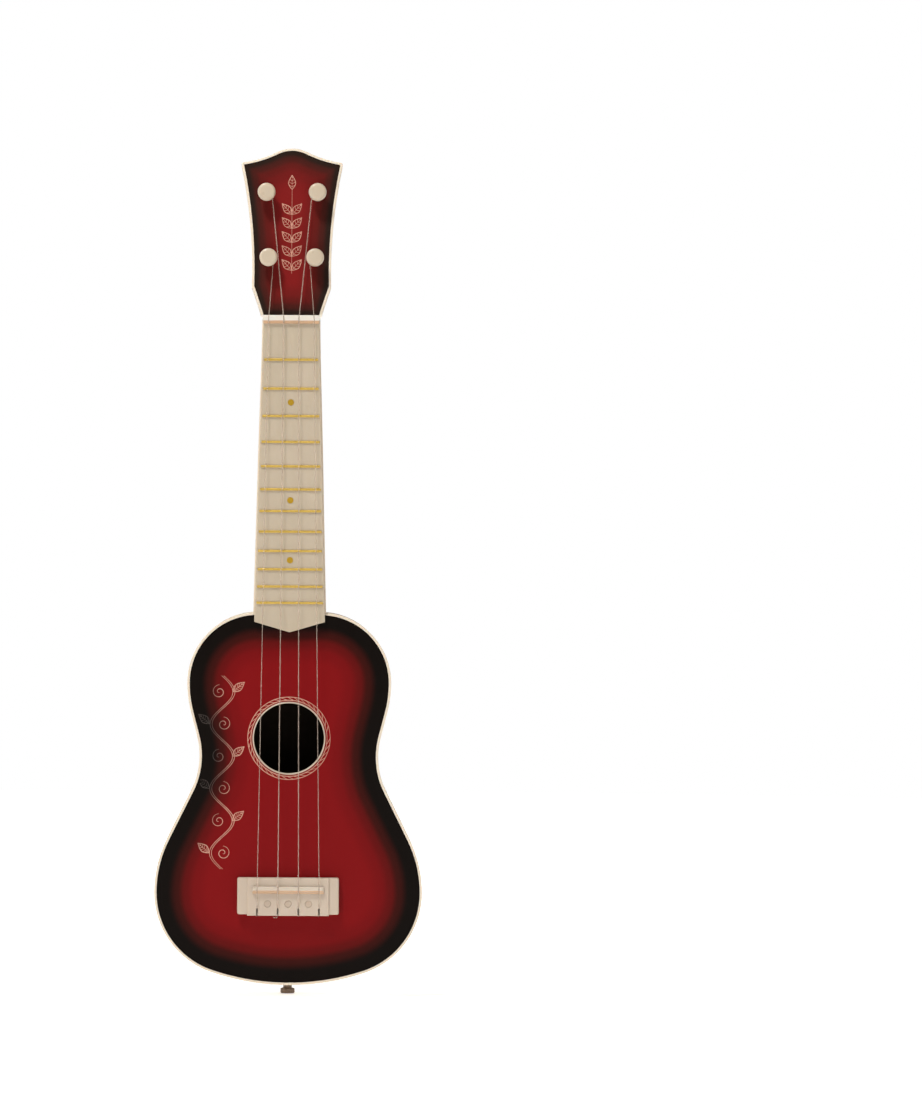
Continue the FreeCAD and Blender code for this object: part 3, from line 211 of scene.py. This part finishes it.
def ornament_ink(name, reach, stops, fade_from, fade_to):
    """Pale ink that sinks into the dark edge of the sunburst."""
    mat, tree, bsdf = new_material(name)
    edge, burst = burst_ramp(tree, reach, stops)
    fade = node(tree, "ShaderNodeMapRange", interpolation_type="SMOOTHSTEP")
    fade.inputs["From Min"].default_value = fade_from
    fade.inputs["From Max"].default_value = fade_to
    fade.inputs["To Min"].default_value = 0.03
    fade.inputs["To Max"].default_value = 1.0
    tree.links.new(edge, fade.inputs["Value"])
    patchy = spread(tree, object_noise(tree, 420, 3), 0.62, 0.98)
    strength = node(tree, "ShaderNodeMath", operation="MULTIPLY")
    tree.links.new(fade.outputs["Result"], strength.inputs[0])
    tree.links.new(patchy, strength.inputs[1])
    mix = node(tree, "ShaderNodeMix", data_type="RGBA")
    mix.inputs["B"].default_value = (*LINE_COLOUR, 1)
    tree.links.new(strength.outputs[0], mix.inputs["Factor"])
    tree.links.new(burst, mix.inputs["A"])
    tree.links.new(mix.outputs["Result"], bsdf.inputs["Base Color"])
    tree.links.new(spread(tree, object_noise(tree, 300, 4), 0.4, 0.55), bsdf.inputs["Roughness"])
    return mat


def gold_foil(name, light, dark):
    """Hot stamped gold, a little uneven, with fine scratches along its length."""
    mat, tree, bsdf = new_material(name)
    patches = spread(tree, object_noise(tree, 900, 4), 0, 1)
    tree.links.new(tinted(tree, patches, light, dark), bsdf.inputs["Base Color"])
    tree.links.new(spread(tree, object_noise(tree, 700, 3), 0.30, 0.46), bsdf.inputs["Roughness"])
    add_bump(tree, bsdf, object_noise(tree, 500, 3, (0.1, 1, 4)), 0.02 * MM, 0.3)
    bsdf.inputs["Metallic"].default_value = 0.55
    return mat


def nylon():
    mat, tree, bsdf = new_material("string_nylon")
    along = spread(tree, object_noise(tree, 130, 3), 0, 1)
    tree.links.new(tinted(tree, along, (0.68, 0.565, 0.475), (0.56, 0.46, 0.38)), bsdf.inputs["Base Color"])
    tree.links.new(spread(tree, object_noise(tree, 600, 2), 0.16, 0.28), bsdf.inputs["Roughness"])
    bsdf.inputs["Transmission Weight"].default_value = 0.35
    bsdf.inputs["Alpha"].default_value = 0.46
    bsdf.inputs["IOR"].default_value = 1.53
    return mat


def plated_steel():
    mat, tree, bsdf = new_material("screw_steel")
    patches = spread(tree, object_noise(tree, 800, 4), 0, 1)
    tree.links.new(tinted(tree, patches, (0.62, 0.62, 0.60), (0.45, 0.45, 0.46)), bsdf.inputs["Base Color"])
    tree.links.new(spread(tree, object_noise(tree, 1200, 3), 0.22, 0.42), bsdf.inputs["Roughness"])
    add_bump(tree, bsdf, object_noise(tree, 1500, 2), 0.02 * MM, 0.3)
    bsdf.inputs["Metallic"].default_value = 1.0
    return mat


MATERIALS = {
    "cream_casing": plastic("casing_cream", CREAM_LIGHT, CREAM_DARK, 0.34),
    "soundboard_print": printed_film("soundboard_film", BODY_REACH, BODY_STOPS),
    "headstock_print": printed_film("headstock_film", HEAD_REACH, HEAD_STOPS),
    "fretboard": plastic("fretboard_cream", (0.53, 0.45, 0.344), (0.484, 0.41, 0.302), 0.48, 900, 0.05 * MM),
    "fret_gold": gold_foil("fret_foil", (0.66, 0.46, 0.10), (0.56, 0.37, 0.07)),
    "dot_gold": gold_foil("dot_foil", (0.62, 0.38, 0.03), (0.52, 0.31, 0.02)),
    "nut_white": plastic("nut_white", (0.745, 0.725, 0.666), (0.71, 0.673, 0.594), 0.33),
    "plug_cream": plastic("plug_cream", (0.525, 0.42, 0.33), (0.48, 0.378, 0.293), 0.42, 1100, 0.04 * MM),
    "saddle_cream": plastic("saddle_cream", (0.617, 0.546, 0.454), (0.582, 0.50, 0.408), 0.33),
    "bridge_cream": plastic("bridge_cream", (0.583, 0.488, 0.392), (0.537, 0.44, 0.348), 0.4,
                            1100, 0.04 * MM),
    "peg_cream": plastic("peg_cream", (0.57, 0.49, 0.38), (0.525, 0.44, 0.33), 0.3),
    "nylon": nylon(),
    "steel": plated_steel(),
    # The end button: cream plastic darkened all over with painted shade.
    "button_cream": plastic("button_cream", (0.17, 0.115, 0.08), (0.10, 0.066, 0.045), 0.42),
    "inner_parts": plastic("inner_cream", (0.60, 0.53, 0.42), (0.5, 0.43, 0.33), 0.6, 600, 0.1 * MM, 0.1),
}
# Near-black plastic: the body's dark inside, and painted shade on the walls of the bridge's string slots.
DARK_INSIDE_AND_PAINTED_SLOT_SHADE = plastic("dark_inside_and_painted_slot_shade", (0.020, 0.012, 0.007), (0.011, 0.007, 0.004), 0.75, 500, 0.1 * MM, 0)
DARK_INSIDE_AND_PAINTED_SLOT_SHADE.node_tree.nodes["Principled BSDF"].inputs["Specular IOR Level"].default_value = 0.1
# A warm tan: painted shade for the downward-facing feet of the nut and saddle.
PAINTED_FOOT_SHADE = plastic("painted_foot_shade", (0.60, 0.38, 0.23), (0.54, 0.335, 0.195), 0.4)
SLOT_OF = {part["node"]: part["material_slot"] for part in frame["record"]["subparts"]}

OWN_FINISH = {"bridge_plugs": "plug_cream", "saddle": "saddle_cream"}

for cad_name, cad_object in NODES.items():
    cad_object.data.materials.clear()
    cad_object.data.materials.append(MATERIALS[OWN_FINISH.get(cad_name, SLOT_OF[cad_name])])


def darken_inside():
    """The back shell is dark inside: on faces that look towards the body's middle."""
    shell = NODES["back_shell"].data
    shell.materials.append(DARK_INSIDE_AND_PAINTED_SLOT_SHADE)
    middle = (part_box("back_shell")[0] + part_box("back_shell")[1]) / 2
    for face in shell.polygons:
        if face.center.y > BOARD_HIGH.y + 0.1 * MM and (face.center - middle).dot(face.normal) < 0:
            face.material_index = 1


darken_inside()


def paint_string_slot_shade():
    """Painted shade on the walls of the bridge's four string slots, where no light reaches."""
    bridge = NODES["bridge"].data
    bridge.materials.append(DARK_INSIDE_AND_PAINTED_SLOT_SHADE)
    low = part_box("bridge")[0]
    for face in bridge.polygons:
        off = min(abs(face.center.x - place * 13.1 * MM) for place in (-1.5, -0.5, 0.5, 1.5))
        if off < 0.6 * MM and face.center.z < low.z + 4.8 * MM and abs(face.normal.y) < 0.5 \
                and low.z + 0.05 * MM < face.center.z:
            face.material_index = 1


paint_string_slot_shade()


def paint_foot_shade(cad_name, height):
    """Painted shade: a warm tan on the sloped, downward-facing foot of a nut or saddle."""
    mesh = NODES[cad_name].data
    mesh.materials.append(PAINTED_FOOT_SHADE)
    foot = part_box(cad_name)[0].z + height
    for face in mesh.polygons:
        if face.center.z < foot and face.normal.y < -0.05 and face.normal.z < -0.1:
            face.material_index = 1


paint_foot_shade("nut", 2.1 * MM)
paint_foot_shade("saddle", 2.0 * MM)


# ---------------------------------------------------------------- mesh helpers

def add_piece(name, mesh, slot_name, body="root", finish=None):
    """A mesh made into a piece that rides on a body."""
    piece = bpy.data.objects.new(name, mesh)
    bpy.context.scene.collection.objects.link(piece)
    mesh.materials.append(finish or MATERIALS[slot_name])
    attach(piece, body)
    return piece


def smooth(mesh, degrees=32):
    """Smooth shading, but for edges sharper than an angle."""
    mesh.shade_smooth()
    mesh.set_sharp_from_angle(angle=math.radians(degrees))


def front_loops(cad_name, to_panel, depth_of):
    """The closed outlines of a CAD node's front face, as points on its panel, longest first."""
    mesh = NODES[cad_name].data
    depths = [depth_of(v.co) for v in mesh.vertices]
    front = min(depths) + 0.001 * MM
    keys = [tuple(round(c * 1e6) for c in (*to_panel(v.co), depth_of(v.co))) for v in mesh.vertices]
    ahead = {}
    for polygon in mesh.polygons:
        if all(depths[i] < front for i in polygon.vertices):
            ring = [keys[i] for i in polygon.vertices]
            for a, b in zip(ring, ring[1:] + ring[:1]):
                ahead.setdefault(a, set()).add(b)
    follow = {a: b for a, ends in ahead.items() for b in ends if a not in ahead.get(b, ())}
    loops = []
    while follow:
        start, step = follow.popitem()
        loop = [start]
        while step != start:
            loop.append(step)
            step = follow.pop(step)
        loops.append(np.array([key[:2] for key in loop]) * 1e-6)
    return sorted(loops, key=lambda loop: -np.ptp(loop[:, 0]))


def edge_distance(points, loop):
    """How far each point is from a closed outline."""
    points = np.asarray(points)[:, None, :]
    start, run = loop[None], (np.roll(loop, -1, 0) - loop)[None]
    square = np.maximum((run ** 2).sum(-1), 1e-16)
    along = np.clip(((points - start) * run).sum(-1) / square, 0, 1)
    return np.sqrt(((points - start - run * along[..., None]) ** 2).sum(-1).min(1))


def within(points, loop):
    """Which points lie inside a closed outline."""
    x, z = np.asarray(points).T[:, :, None]
    (ax, az), (bx, bz) = loop.T, np.roll(loop, -1, 0).T
    rise = np.where(bz == az, 1e-12, bz - az)
    crossed = ((az > z) != (bz > z)) & (x < (bx - ax) * (z - az) / rise + ax)
    return crossed.sum(1) % 2 == 1


class Panel:
    """A flat printed face: its plane, its outlines, and the distance of any point from its edge."""

    def __init__(self, cad_name, origin, up, outward):
        self.cad_name, self.origin, self.up, self.outward = cad_name, origin, up, outward
        self.loops = front_loops(cad_name, self.flatten, lambda co: -(co - origin).dot(outward))

    def flatten(self, point):
        return point.x, (point - self.origin).dot(self.up)

    def place(self, x, z, proud):
        return self.origin + Vector((x, 0, 0)) + self.up * z + self.outward * proud

    def write_edge_distance(self, mesh):
        flat = [self.flatten(vertex.co) for vertex in mesh.vertices]
        layer = mesh.attributes.new("edge_distance", "FLOAT", "POINT")
        layer.data.foreach_set("value", edge_distance(flat, self.loops[0]).astype(np.float32))


def panel_piece(name, panel, slot_name, thickness, spacing):
    """A printed panel: the CAD plate's own outlines filled with a fine net of faces."""
    loops = panel.loops
    low, high = loops[0].min(0), loops[0].max(0)
    columns, rows = ((high - low) / spacing).astype(int)
    net = np.array([(low[0] + (i + 0.5 * (j % 2)) * spacing, low[1] + j * spacing)
                    for i in range(1, columns) for j in range(1, rows)])
    clear = within(net, loops[0])
    for loop in loops:
        clear &= edge_distance(net, loop) > spacing * 0.4
    for hole in loops[1:]:
        clear &= ~within(net, hole)
    spots, edges = [], []
    for loop in loops:
        first, count = len(spots), len(loop)
        spots.extend(Vector(point) for point in loop)
        edges.extend((first + i, first + (i + 1) % count) for i in range(count))
    spots.extend(Vector(point) for point in net[clear])
    corners, _, faces = delaunay_2d_cdt(spots, edges, [], 0, 1e-7)[:3]
    middles = np.array([np.mean([corners[i] for i in face], axis=0) for face in faces])
    keep = within(middles, loops[0])
    for hole in loops[1:]:
        keep &= ~within(middles, hole)
    faces = [tuple(face) for face, kept in zip(faces, keep) if kept]
    build = bmesh.new()
    front = [build.verts.new(panel.place(*corner, 0)) for corner in corners]
    back = [build.verts.new(panel.place(*corner, -thickness)) for corner in corners]
    sides = set()
    for face in faces:
        build.faces.new([front[i] for i in face])
        build.faces.new([back[i] for i in reversed(face)])
        sides.update(zip(face, face[1:] + face[:1]))
    for a, b in sides:
        if (b, a) not in sides:
            build.faces.new([front[b], front[a], back[a], back[b]])
    loose = [v for v in build.verts if not v.link_faces]
    bmesh.ops.delete(build, geom=loose, context="VERTS")
    bmesh.ops.recalc_face_normals(build, faces=build.faces)
    mesh = bpy.data.meshes.new(name)
    build.to_mesh(mesh)
    build.free()
    panel.write_edge_distance(mesh)
    smooth(mesh, 30)
    piece = add_piece(name, mesh, slot_name)
    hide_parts(panel.cad_name)
    return piece


BOARD = Panel("soundboard", Vector((0, BOARD_LOW.y, 0)), Vector((0, 0, 1)), Vector((0, -1, 0)))
PLATE = Panel("headstock_plate", HEAD_ORIGIN, HEAD_UP, HEAD_NORMAL)
panel_piece("printed_soundboard", BOARD, "soundboard_print", BOARD_HIGH.y - BOARD_LOW.y, 2.2 * MM)
panel_piece("printed_headstock_face", PLATE, "headstock_print", 1.6 * MM, 1.4 * MM)

# ---------------------------------------------------------------- ornament lines
# Motifs are drawn in millimetres on a panel, x to the right and z up, as lists of points.

def arc(x, z, radius, start, end):
    """Part of a circle."""
    steps = max(4, int(abs(end - start) * radius / 50) + 2)
    turns = [math.radians(start + (end - start) * i / steps) for i in range(steps + 1)]
    return [(x + radius * math.cos(turn), z + radius * math.sin(turn)) for turn in turns]


def flow(*points, steps=7):
    """A smooth line through a few points."""
    ends = [points[0], *points, points[-1]]
    line = []
    for p, q, r, t in zip(ends, ends[1:], ends[2:], ends[3:]):
        for i in range(steps):
            f = i / steps
            line.append(tuple(
                0.5 * (2 * b + (c - a) * f + (2 * a - 5 * b + 4 * c - d) * f * f
                       + (3 * b - a - 3 * c + d) * f ** 3)
                for a, b, c, d in zip(p, q, r, t)))
    return line + [points[-1]]


def curl(x, z, radius, start, turns):
    """A spiral from its outer end to its eye. Positive turns run anticlockwise."""
    steps = int(abs(turns) * 26)
    line = []
    for i in range(steps + 1):
        f = i / steps
        turn = math.radians(start) + turns * math.tau * f
        reach = radius * (1 - f) ** 0.9 + 0.35 * f
        line.append((x + reach * math.cos(turn), z + reach * math.sin(turn)))
    return line


HATCH_STEPS = 39


def evenly(line):
    """Points at equal steps along a line."""
    pts = np.array(line)
    run = np.concatenate([[0], np.cumsum(np.hypot(*np.diff(pts, axis=0).T))])
    at = np.linspace(0, run[-1], HATCH_STEPS + 1)
    return [tuple(p) for p in np.stack([np.interp(at, run, pts[:, 0]), np.interp(at, run, pts[:, 1])], 1)]


def hatch(first, second, count, slant=0):
    """Short lines that join two lines, and run a little ahead on the second when they slant."""
    one, other = evenly(first), evenly(second)
    steps = [round(i * HATCH_STEPS / (count + 1)) for i in range(1, count + 1)]
    return [[one[i], other[min(i + slant, HATCH_STEPS)]] for i in steps]


def leaf(x, z, heading, length, ribs):
    """A plain pointed leaf: two equal sides, a straight midrib and slanting ribs."""
    ahead = (math.cos(math.radians(heading)), math.sin(math.radians(heading)))

    def spot(along, aside):
        return (x + along * ahead[0] - aside * ahead[1], z + along * ahead[1] + aside * ahead[0])

    base, tip = spot(0, 0), spot(length, 0)
    rib = [base, tip]
    sides = [flow(base, spot(0.45 * length, side * 0.24 * length), tip) for side in (1, -1)]
    return [*sides, rib, *hatch(rib, sides[0], ribs, 5), *hatch(rib, sides[1], ribs, 5)]


STEM_STEPS = 8


def vine(x, top, wave, sway, bends):
    """A scrolling vine: a wavy stem with a curl in each bend and a leaf on the bend's outer side."""
    stem = [(x + sway * math.sin(math.pi * i / STEM_STEPS), top - wave * i / (2 * STEM_STEPS))
            for i in range(bends * STEM_STEPS + 1)]
    lines = [flow(*stem, steps=2), flow(*[(px + 1.3, pz) for px, pz in stem], steps=2)]
    for bend in range(bends):
        side = 1 if bend % 2 == 0 else -1
        middle = top - wave * (bend + 0.5) / 2
        lines.append(curl(x - side * 0.2 * sway, middle, 0.62 * sway, 90, side * 1.5))
        lines += leaf(x + side * sway, middle, 90 - side * 50, 1.35 * sway, 6)
    return lines


def body_ornament():
    """A vine down the left side of the soundboard and a plain rope ring round the sound hole."""
    lines = vine(-43.0, -226.0, 41.0, 7.2, 6)
    rope = [arc(0, HOLE.z / MM, radius, 0, 360) for radius in (24.2, 26.2)]
    return lines + rope + hatch(rope[0], rope[1], 38, 1)


def head_ornament():
    """An upright sprig with its leaves in equal pairs."""
    lines = [[(0, 30), (0, 84)]]
    for level in range(32, 76, 9):
        for heading in (48, 132):
            lines += leaf(0, level, heading, 9.5, 4)
    return lines + leaf(0, 84, 90, 9.5, 4)


def ink_piece(name, panel, slot_name, lines, width, finish):
    """Each line becomes a closed flat strip that stands a little proud of the panel."""
    random.seed(7)
    build = bmesh.new()
    for line in lines:
        points = [np.array(p) * MM for p in line]
        points = [p for p, before in zip(points, [None, *points])
                  if before is None or np.hypot(*(p - before)) > 1e-5]
        points = [p for p, ok in zip(points, clear_of_edges(panel, points)) if ok]
        if len(points) < 2:
            continue
        top = random.uniform(0.02, 0.05) * MM
        half = width * random.uniform(0.42, 0.54)
        rings = []
        for i, point in enumerate(points):
            run = points[min(i + 1, len(points) - 1)] - points[max(i - 1, 0)]
            side = np.array((-run[1], run[0])) / max(np.hypot(*run), 1e-9)
            taper = 0.55 + 0.45 * min(1, 4 * min(i, len(points) - 1 - i) / len(points))
            left, right = point + side * half * taper, point - side * half * taper
            rings.append([build.verts.new(panel.place(*spot, proud)) for spot, proud in
                          ((left, -0.03 * MM), (left * 0.6 + point * 0.4, top),
                           (right * 0.6 + point * 0.4, top), (right, -0.03 * MM))])
        for ring, after in zip(rings, rings[1:]):
            for k in range(4):
                build.faces.new([ring[k], ring[k - 1], after[k - 1], after[k]])
        build.faces.new(rings[0])
        build.faces.new(reversed(rings[-1]))
    bmesh.ops.recalc_face_normals(build, faces=build.faces)
    mesh = bpy.data.meshes.new(name)
    build.to_mesh(mesh)
    build.free()
    panel.write_edge_distance(mesh)
    return add_piece(name, mesh, slot_name, finish=finish)


def clear_of_edges(panel, points):
    """Which points lie on the panel, away from its rim and from its openings."""
    if not points:
        return []
    clear = within(points, panel.loops[0]) & (edge_distance(points, panel.loops[0]) > 1.2 * MM)
    for hole in panel.loops[1:]:
        clear &= ~within(points, hole) & (edge_distance(points, hole) > 0.5 * MM)
    return clear


BODY_INK = ornament_ink("soundboard_ink", BODY_REACH, BODY_STOPS, 8 * MM, 27 * MM)
HEAD_INK = ornament_ink("headstock_ink", HEAD_REACH, HEAD_STOPS, 2 * MM, 13 * MM)
ink_piece("soundboard_ornament", BOARD, "soundboard_print", body_ornament(), 0.62 * MM, BODY_INK)
ink_piece("headstock_ornament", PLATE, "headstock_print", head_ornament(), 0.5 * MM, HEAD_INK)

# ---------------------------------------------------------------- strings

def tube_mesh(name, paths, sides=10):
    """Round tubes along lines of points. Each path is a list of (point, radius)."""
    build = bmesh.new()
    for path in paths:
        across = None
        rings = []
        for i, (point, radius) in enumerate(path):
            run = (path[min(i + 1, len(path) - 1)][0] - path[max(i - 1, 0)][0]).normalized()
            across = run.orthogonal() if across is None else across - run * across.dot(run)
            across.normalize()
            other = run.cross(across)
            rings.append([build.verts.new(point + (across * math.cos(math.tau * k / sides)
                                                   + other * math.sin(math.tau * k / sides)) * radius)
                          for k in range(sides)])
        for ring, after in zip(rings, rings[1:]):
            for k in range(sides):
                build.faces.new([ring[k], ring[k - 1], after[k - 1], after[k]])
        build.faces.new(rings[0])
        build.faces.new(reversed(rings[-1]))
    bmesh.ops.recalc_face_normals(build, faces=build.faces)
    mesh = bpy.data.meshes.new(name)
    build.to_mesh(mesh)
    build.free()
    smooth(mesh, 50)
    return mesh


def eased(points, reach):
    """A line of straight runs with each corner eased over a short reach."""
    line = [points[0]]
    for before, corner, after in zip(points, points[1:], points[2:]):
        start = corner + (before - corner).normalized() * min(reach, (before - corner).length * 0.45)
        end = corner + (after - corner).normalized() * min(reach, (after - corner).length * 0.45)
        for i in range(7):
            f = i / 6
            line.append(start * (1 - f) ** 2 + corner * 2 * f * (1 - f) + end * f * f)
    return line + [points[-1]]


def peg_frame(name):
    """The axis point of a peg on the face plate."""
    return Vector(PEGS[name]["pos_m"])


def wound_string(name, place, radius, side):
    """A nylon string: knot under the bridge's edge, over saddle and nut, and round its drum."""
    bridge_low, bridge_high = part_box("bridge")
    saddle_low, saddle_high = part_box("saddle")
    nut_low, nut_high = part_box("nut")
    at_saddle, at_nut = place * 13.1 * MM, place * 9.6 * MM
    slot = Vector((at_saddle, bridge_low.y - 0.1 * MM, bridge_low.z + 4.6 * MM))
    mouth = Vector((at_saddle, bridge_low.y + 5.0 * MM, bridge_low.z + 4.1 * MM))
    knot = Vector((at_saddle, bridge_low.y + 4.6 * MM, bridge_low.z + 0.2 * MM))
    saddle = Vector((at_saddle, saddle_low.y - 0.1 * MM, (saddle_low.z + saddle_high.z) / 2))
    nut = Vector((at_nut, nut_low.y - 0.1 * MM, (nut_low.z + nut_high.z) / 2))
    peg = peg_frame(name)
    turn_radius = 3.02 * MM + radius
    flat = nut - peg
    lean = math.atan2(flat.dot(HEAD_UP), flat.x)
    start = lean - side * math.acos(turn_radius / math.hypot(flat.x, flat.dot(HEAD_UP)))
    coil = []
    turns = 2.75
    steps = 96
    for i in range(steps + 1):
        f = i / steps
        # The turns climb from the lowest to the highest, and the end dives into the drum's hole.
        angle = start - side * math.tau * turns * f
        dive = max(0, (f - 0.965) / 0.035)
        reach = turn_radius - dive * 1.1 * MM
        level = 2.9 * MM + (f - 0.5) * 2.05 * radius * turns
        coil.append(peg + Vector((math.cos(angle) * reach, 0, 0)) + HEAD_UP * math.sin(angle) * reach
                    + HEAD_NORMAL * level)
    line = eased([knot, mouth, slot, saddle, nut, coil[0]], 1.2 * MM)[:-1] + coil
    # The knot is one turn and a half round the string, pulled tight.
    tie = []
    for i in range(41):
        angle = math.tau * 1.6 * i / 40
        around = Vector((math.cos(angle) * 0.3, math.sin(angle) * 0.5, 0.9 - 1.3 * i / 40)) * MM
        tie.append((knot + around, radius * 0.75))
    tail = [tie[-1][0], knot + Vector((0, -0.3, -1.0)) * MM]
    if name == "c":
        tail += [knot + Vector((-1.2, -1.2, -1.9)) * MM, knot + Vector((-2.9, -1.4, -1.1)) * MM]
    paths = [[(p, radius) for p in line], tie, [(p, radius * 0.9) for p in eased(tail, 1.2 * MM)]]
    mesh = tube_mesh("wound_string_" + name, paths)
    piece = add_piece("wound_string_" + name, mesh, "nylon")
    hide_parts("string_" + name)


for string_name, place, thickness, side in (("g", -1.5, 0.56, -1), ("c", -0.5, 0.74, -1),
                                            ("e", 0.5, 0.68, 1), ("a", 1.5, 0.56, 1)):
    wound_string(string_name, place, thickness / 2 * MM, side)

# ---------------------------------------------------------------- floor, lights and camera


def soft_light(name, spot, aim, size, power, colour=(1, 1, 1)):
    light = bpy.data.lights.new(name, "AREA")
    light.shape, light.size, light.energy, light.color = "DISK", size, power, colour
    lamp = bpy.data.objects.new(name, light)
    lamp.location = spot
    lamp.rotation_euler = (Vector(aim) - Vector(spot)).to_track_quat("-Z", "Y").to_euler()
    bpy.context.scene.collection.objects.link(lamp)


def pale_surroundings():
    """A white studio: the camera sees plain white behind a pale floor."""
    world = bpy.data.worlds.new("white_studio")
    bpy.context.scene.world = world
    world.use_nodes = True
    tree = world.node_tree
    background = tree.nodes["Background"]
    # Soft light comes from above and the left, and little from behind the camera.
    place = node(tree, "ShaderNodeTexCoord")
    toward = node(tree, "ShaderNodeVectorMath", operation="DOT_PRODUCT")
    toward.inputs[1].default_value = Vector((-0.36, 0.10, 0.93)).normalized()
    tree.links.new(place.outputs["Generated"], toward.inputs[0])
    soft = node(tree, "ShaderNodeMapRange", interpolation_type="SMOOTHSTEP")
    soft.inputs["From Min"].default_value = -0.35
    soft.inputs["From Max"].default_value = 0.9
    soft.inputs["To Min"].default_value = 0.07
    soft.inputs["To Max"].default_value = 0.34
    tree.links.new(toward.outputs["Value"], soft.inputs["Value"])
    seen = node(tree, "ShaderNodeLightPath")
    level = node(tree, "ShaderNodeMix")
    level.inputs["B"].default_value = 1.0
    tree.links.new(seen.outputs["Is Camera Ray"], level.inputs["Factor"])
    tree.links.new(soft.outputs["Result"], level.inputs["A"])
    tree.links.new(level.outputs["Result"], background.inputs["Strength"])
    tree.links.new(tinted(tree, seen.outputs["Is Camera Ray"], (1.0, 0.90, 0.80), (1, 1, 1)),
                   background.inputs["Color"])
    bpy.ops.mesh.primitive_circle_add(vertices=96, radius=2.6, fill_type="NGON",
                                      location=(0, 0, CAD_LOW.z - 0.4 * MM))
    floor = bpy.context.object
    floor.name = "studio_floor"
    mat, tree, bsdf = new_material("floor_paper")
    tree.links.new(tinted(tree, spread(tree, object_noise(tree, 3, 2), 0, 1),
                          (0.93, 0.93, 0.93), (0.90, 0.90, 0.90)),
                   bsdf.inputs["Base Color"])
    bsdf.inputs["Roughness"].default_value = 0.9
    # The paper glows softly further out, so that it meets the white behind it without an edge.
    place = node(tree, "ShaderNodeTexCoord")
    reach = node(tree, "ShaderNodeVectorMath", operation="LENGTH")
    tree.links.new(place.outputs["Object"], reach.inputs[0])
    glow = node(tree, "ShaderNodeMapRange", interpolation_type="SMOOTHSTEP")
    glow.inputs["From Min"].default_value = 0.1
    glow.inputs["From Max"].default_value = 1.4
    glow.inputs["To Min"].default_value = 0.55
    glow.inputs["To Max"].default_value = 1.0
    tree.links.new(reach.outputs["Value"], glow.inputs["Value"])
    bsdf.inputs["Emission Color"].default_value = (1, 1, 1, 1)
    tree.links.new(glow.outputs["Result"], bsdf.inputs["Emission Strength"])
    floor.data.materials.append(mat)


pale_surroundings()
soft_light("key_above_left", (-0.5, -0.72, 1.4), (0, 0, -0.2), 0.30, 25, (1.0, 0.985, 0.965))
soft_light("fill_right", (1.0, -1.3, 0.1), (0, 0, -0.2), 1.0, 1.5, (1.0, 0.88, 0.76))
soft_light("behind_left", (-0.7, 0.7, 0.5), (0, 0, -0.2), 0.8, 4)
soft_light("behind_right", (0.8, 0.7, 0.2), (0, 0, -0.2), 0.8, 3)

camera_data = bpy.data.cameras.new("camera")
camera_data.sensor_fit, camera_data.sensor_height, camera_data.sensor_width = "VERTICAL", 24, 20
camera_data.lens = 102.4
camera_data.shift_x = 0.1546
camera = bpy.data.objects.new("camera", camera_data)
camera.location = (0, -3.0, -0.1478)
camera.rotation_euler = (math.radians(90), math.radians(-0.33), 0)
bpy.context.scene.collection.objects.link(camera)
bpy.context.scene.camera = camera
bpy.context.scene.view_settings.view_transform = "Standard"
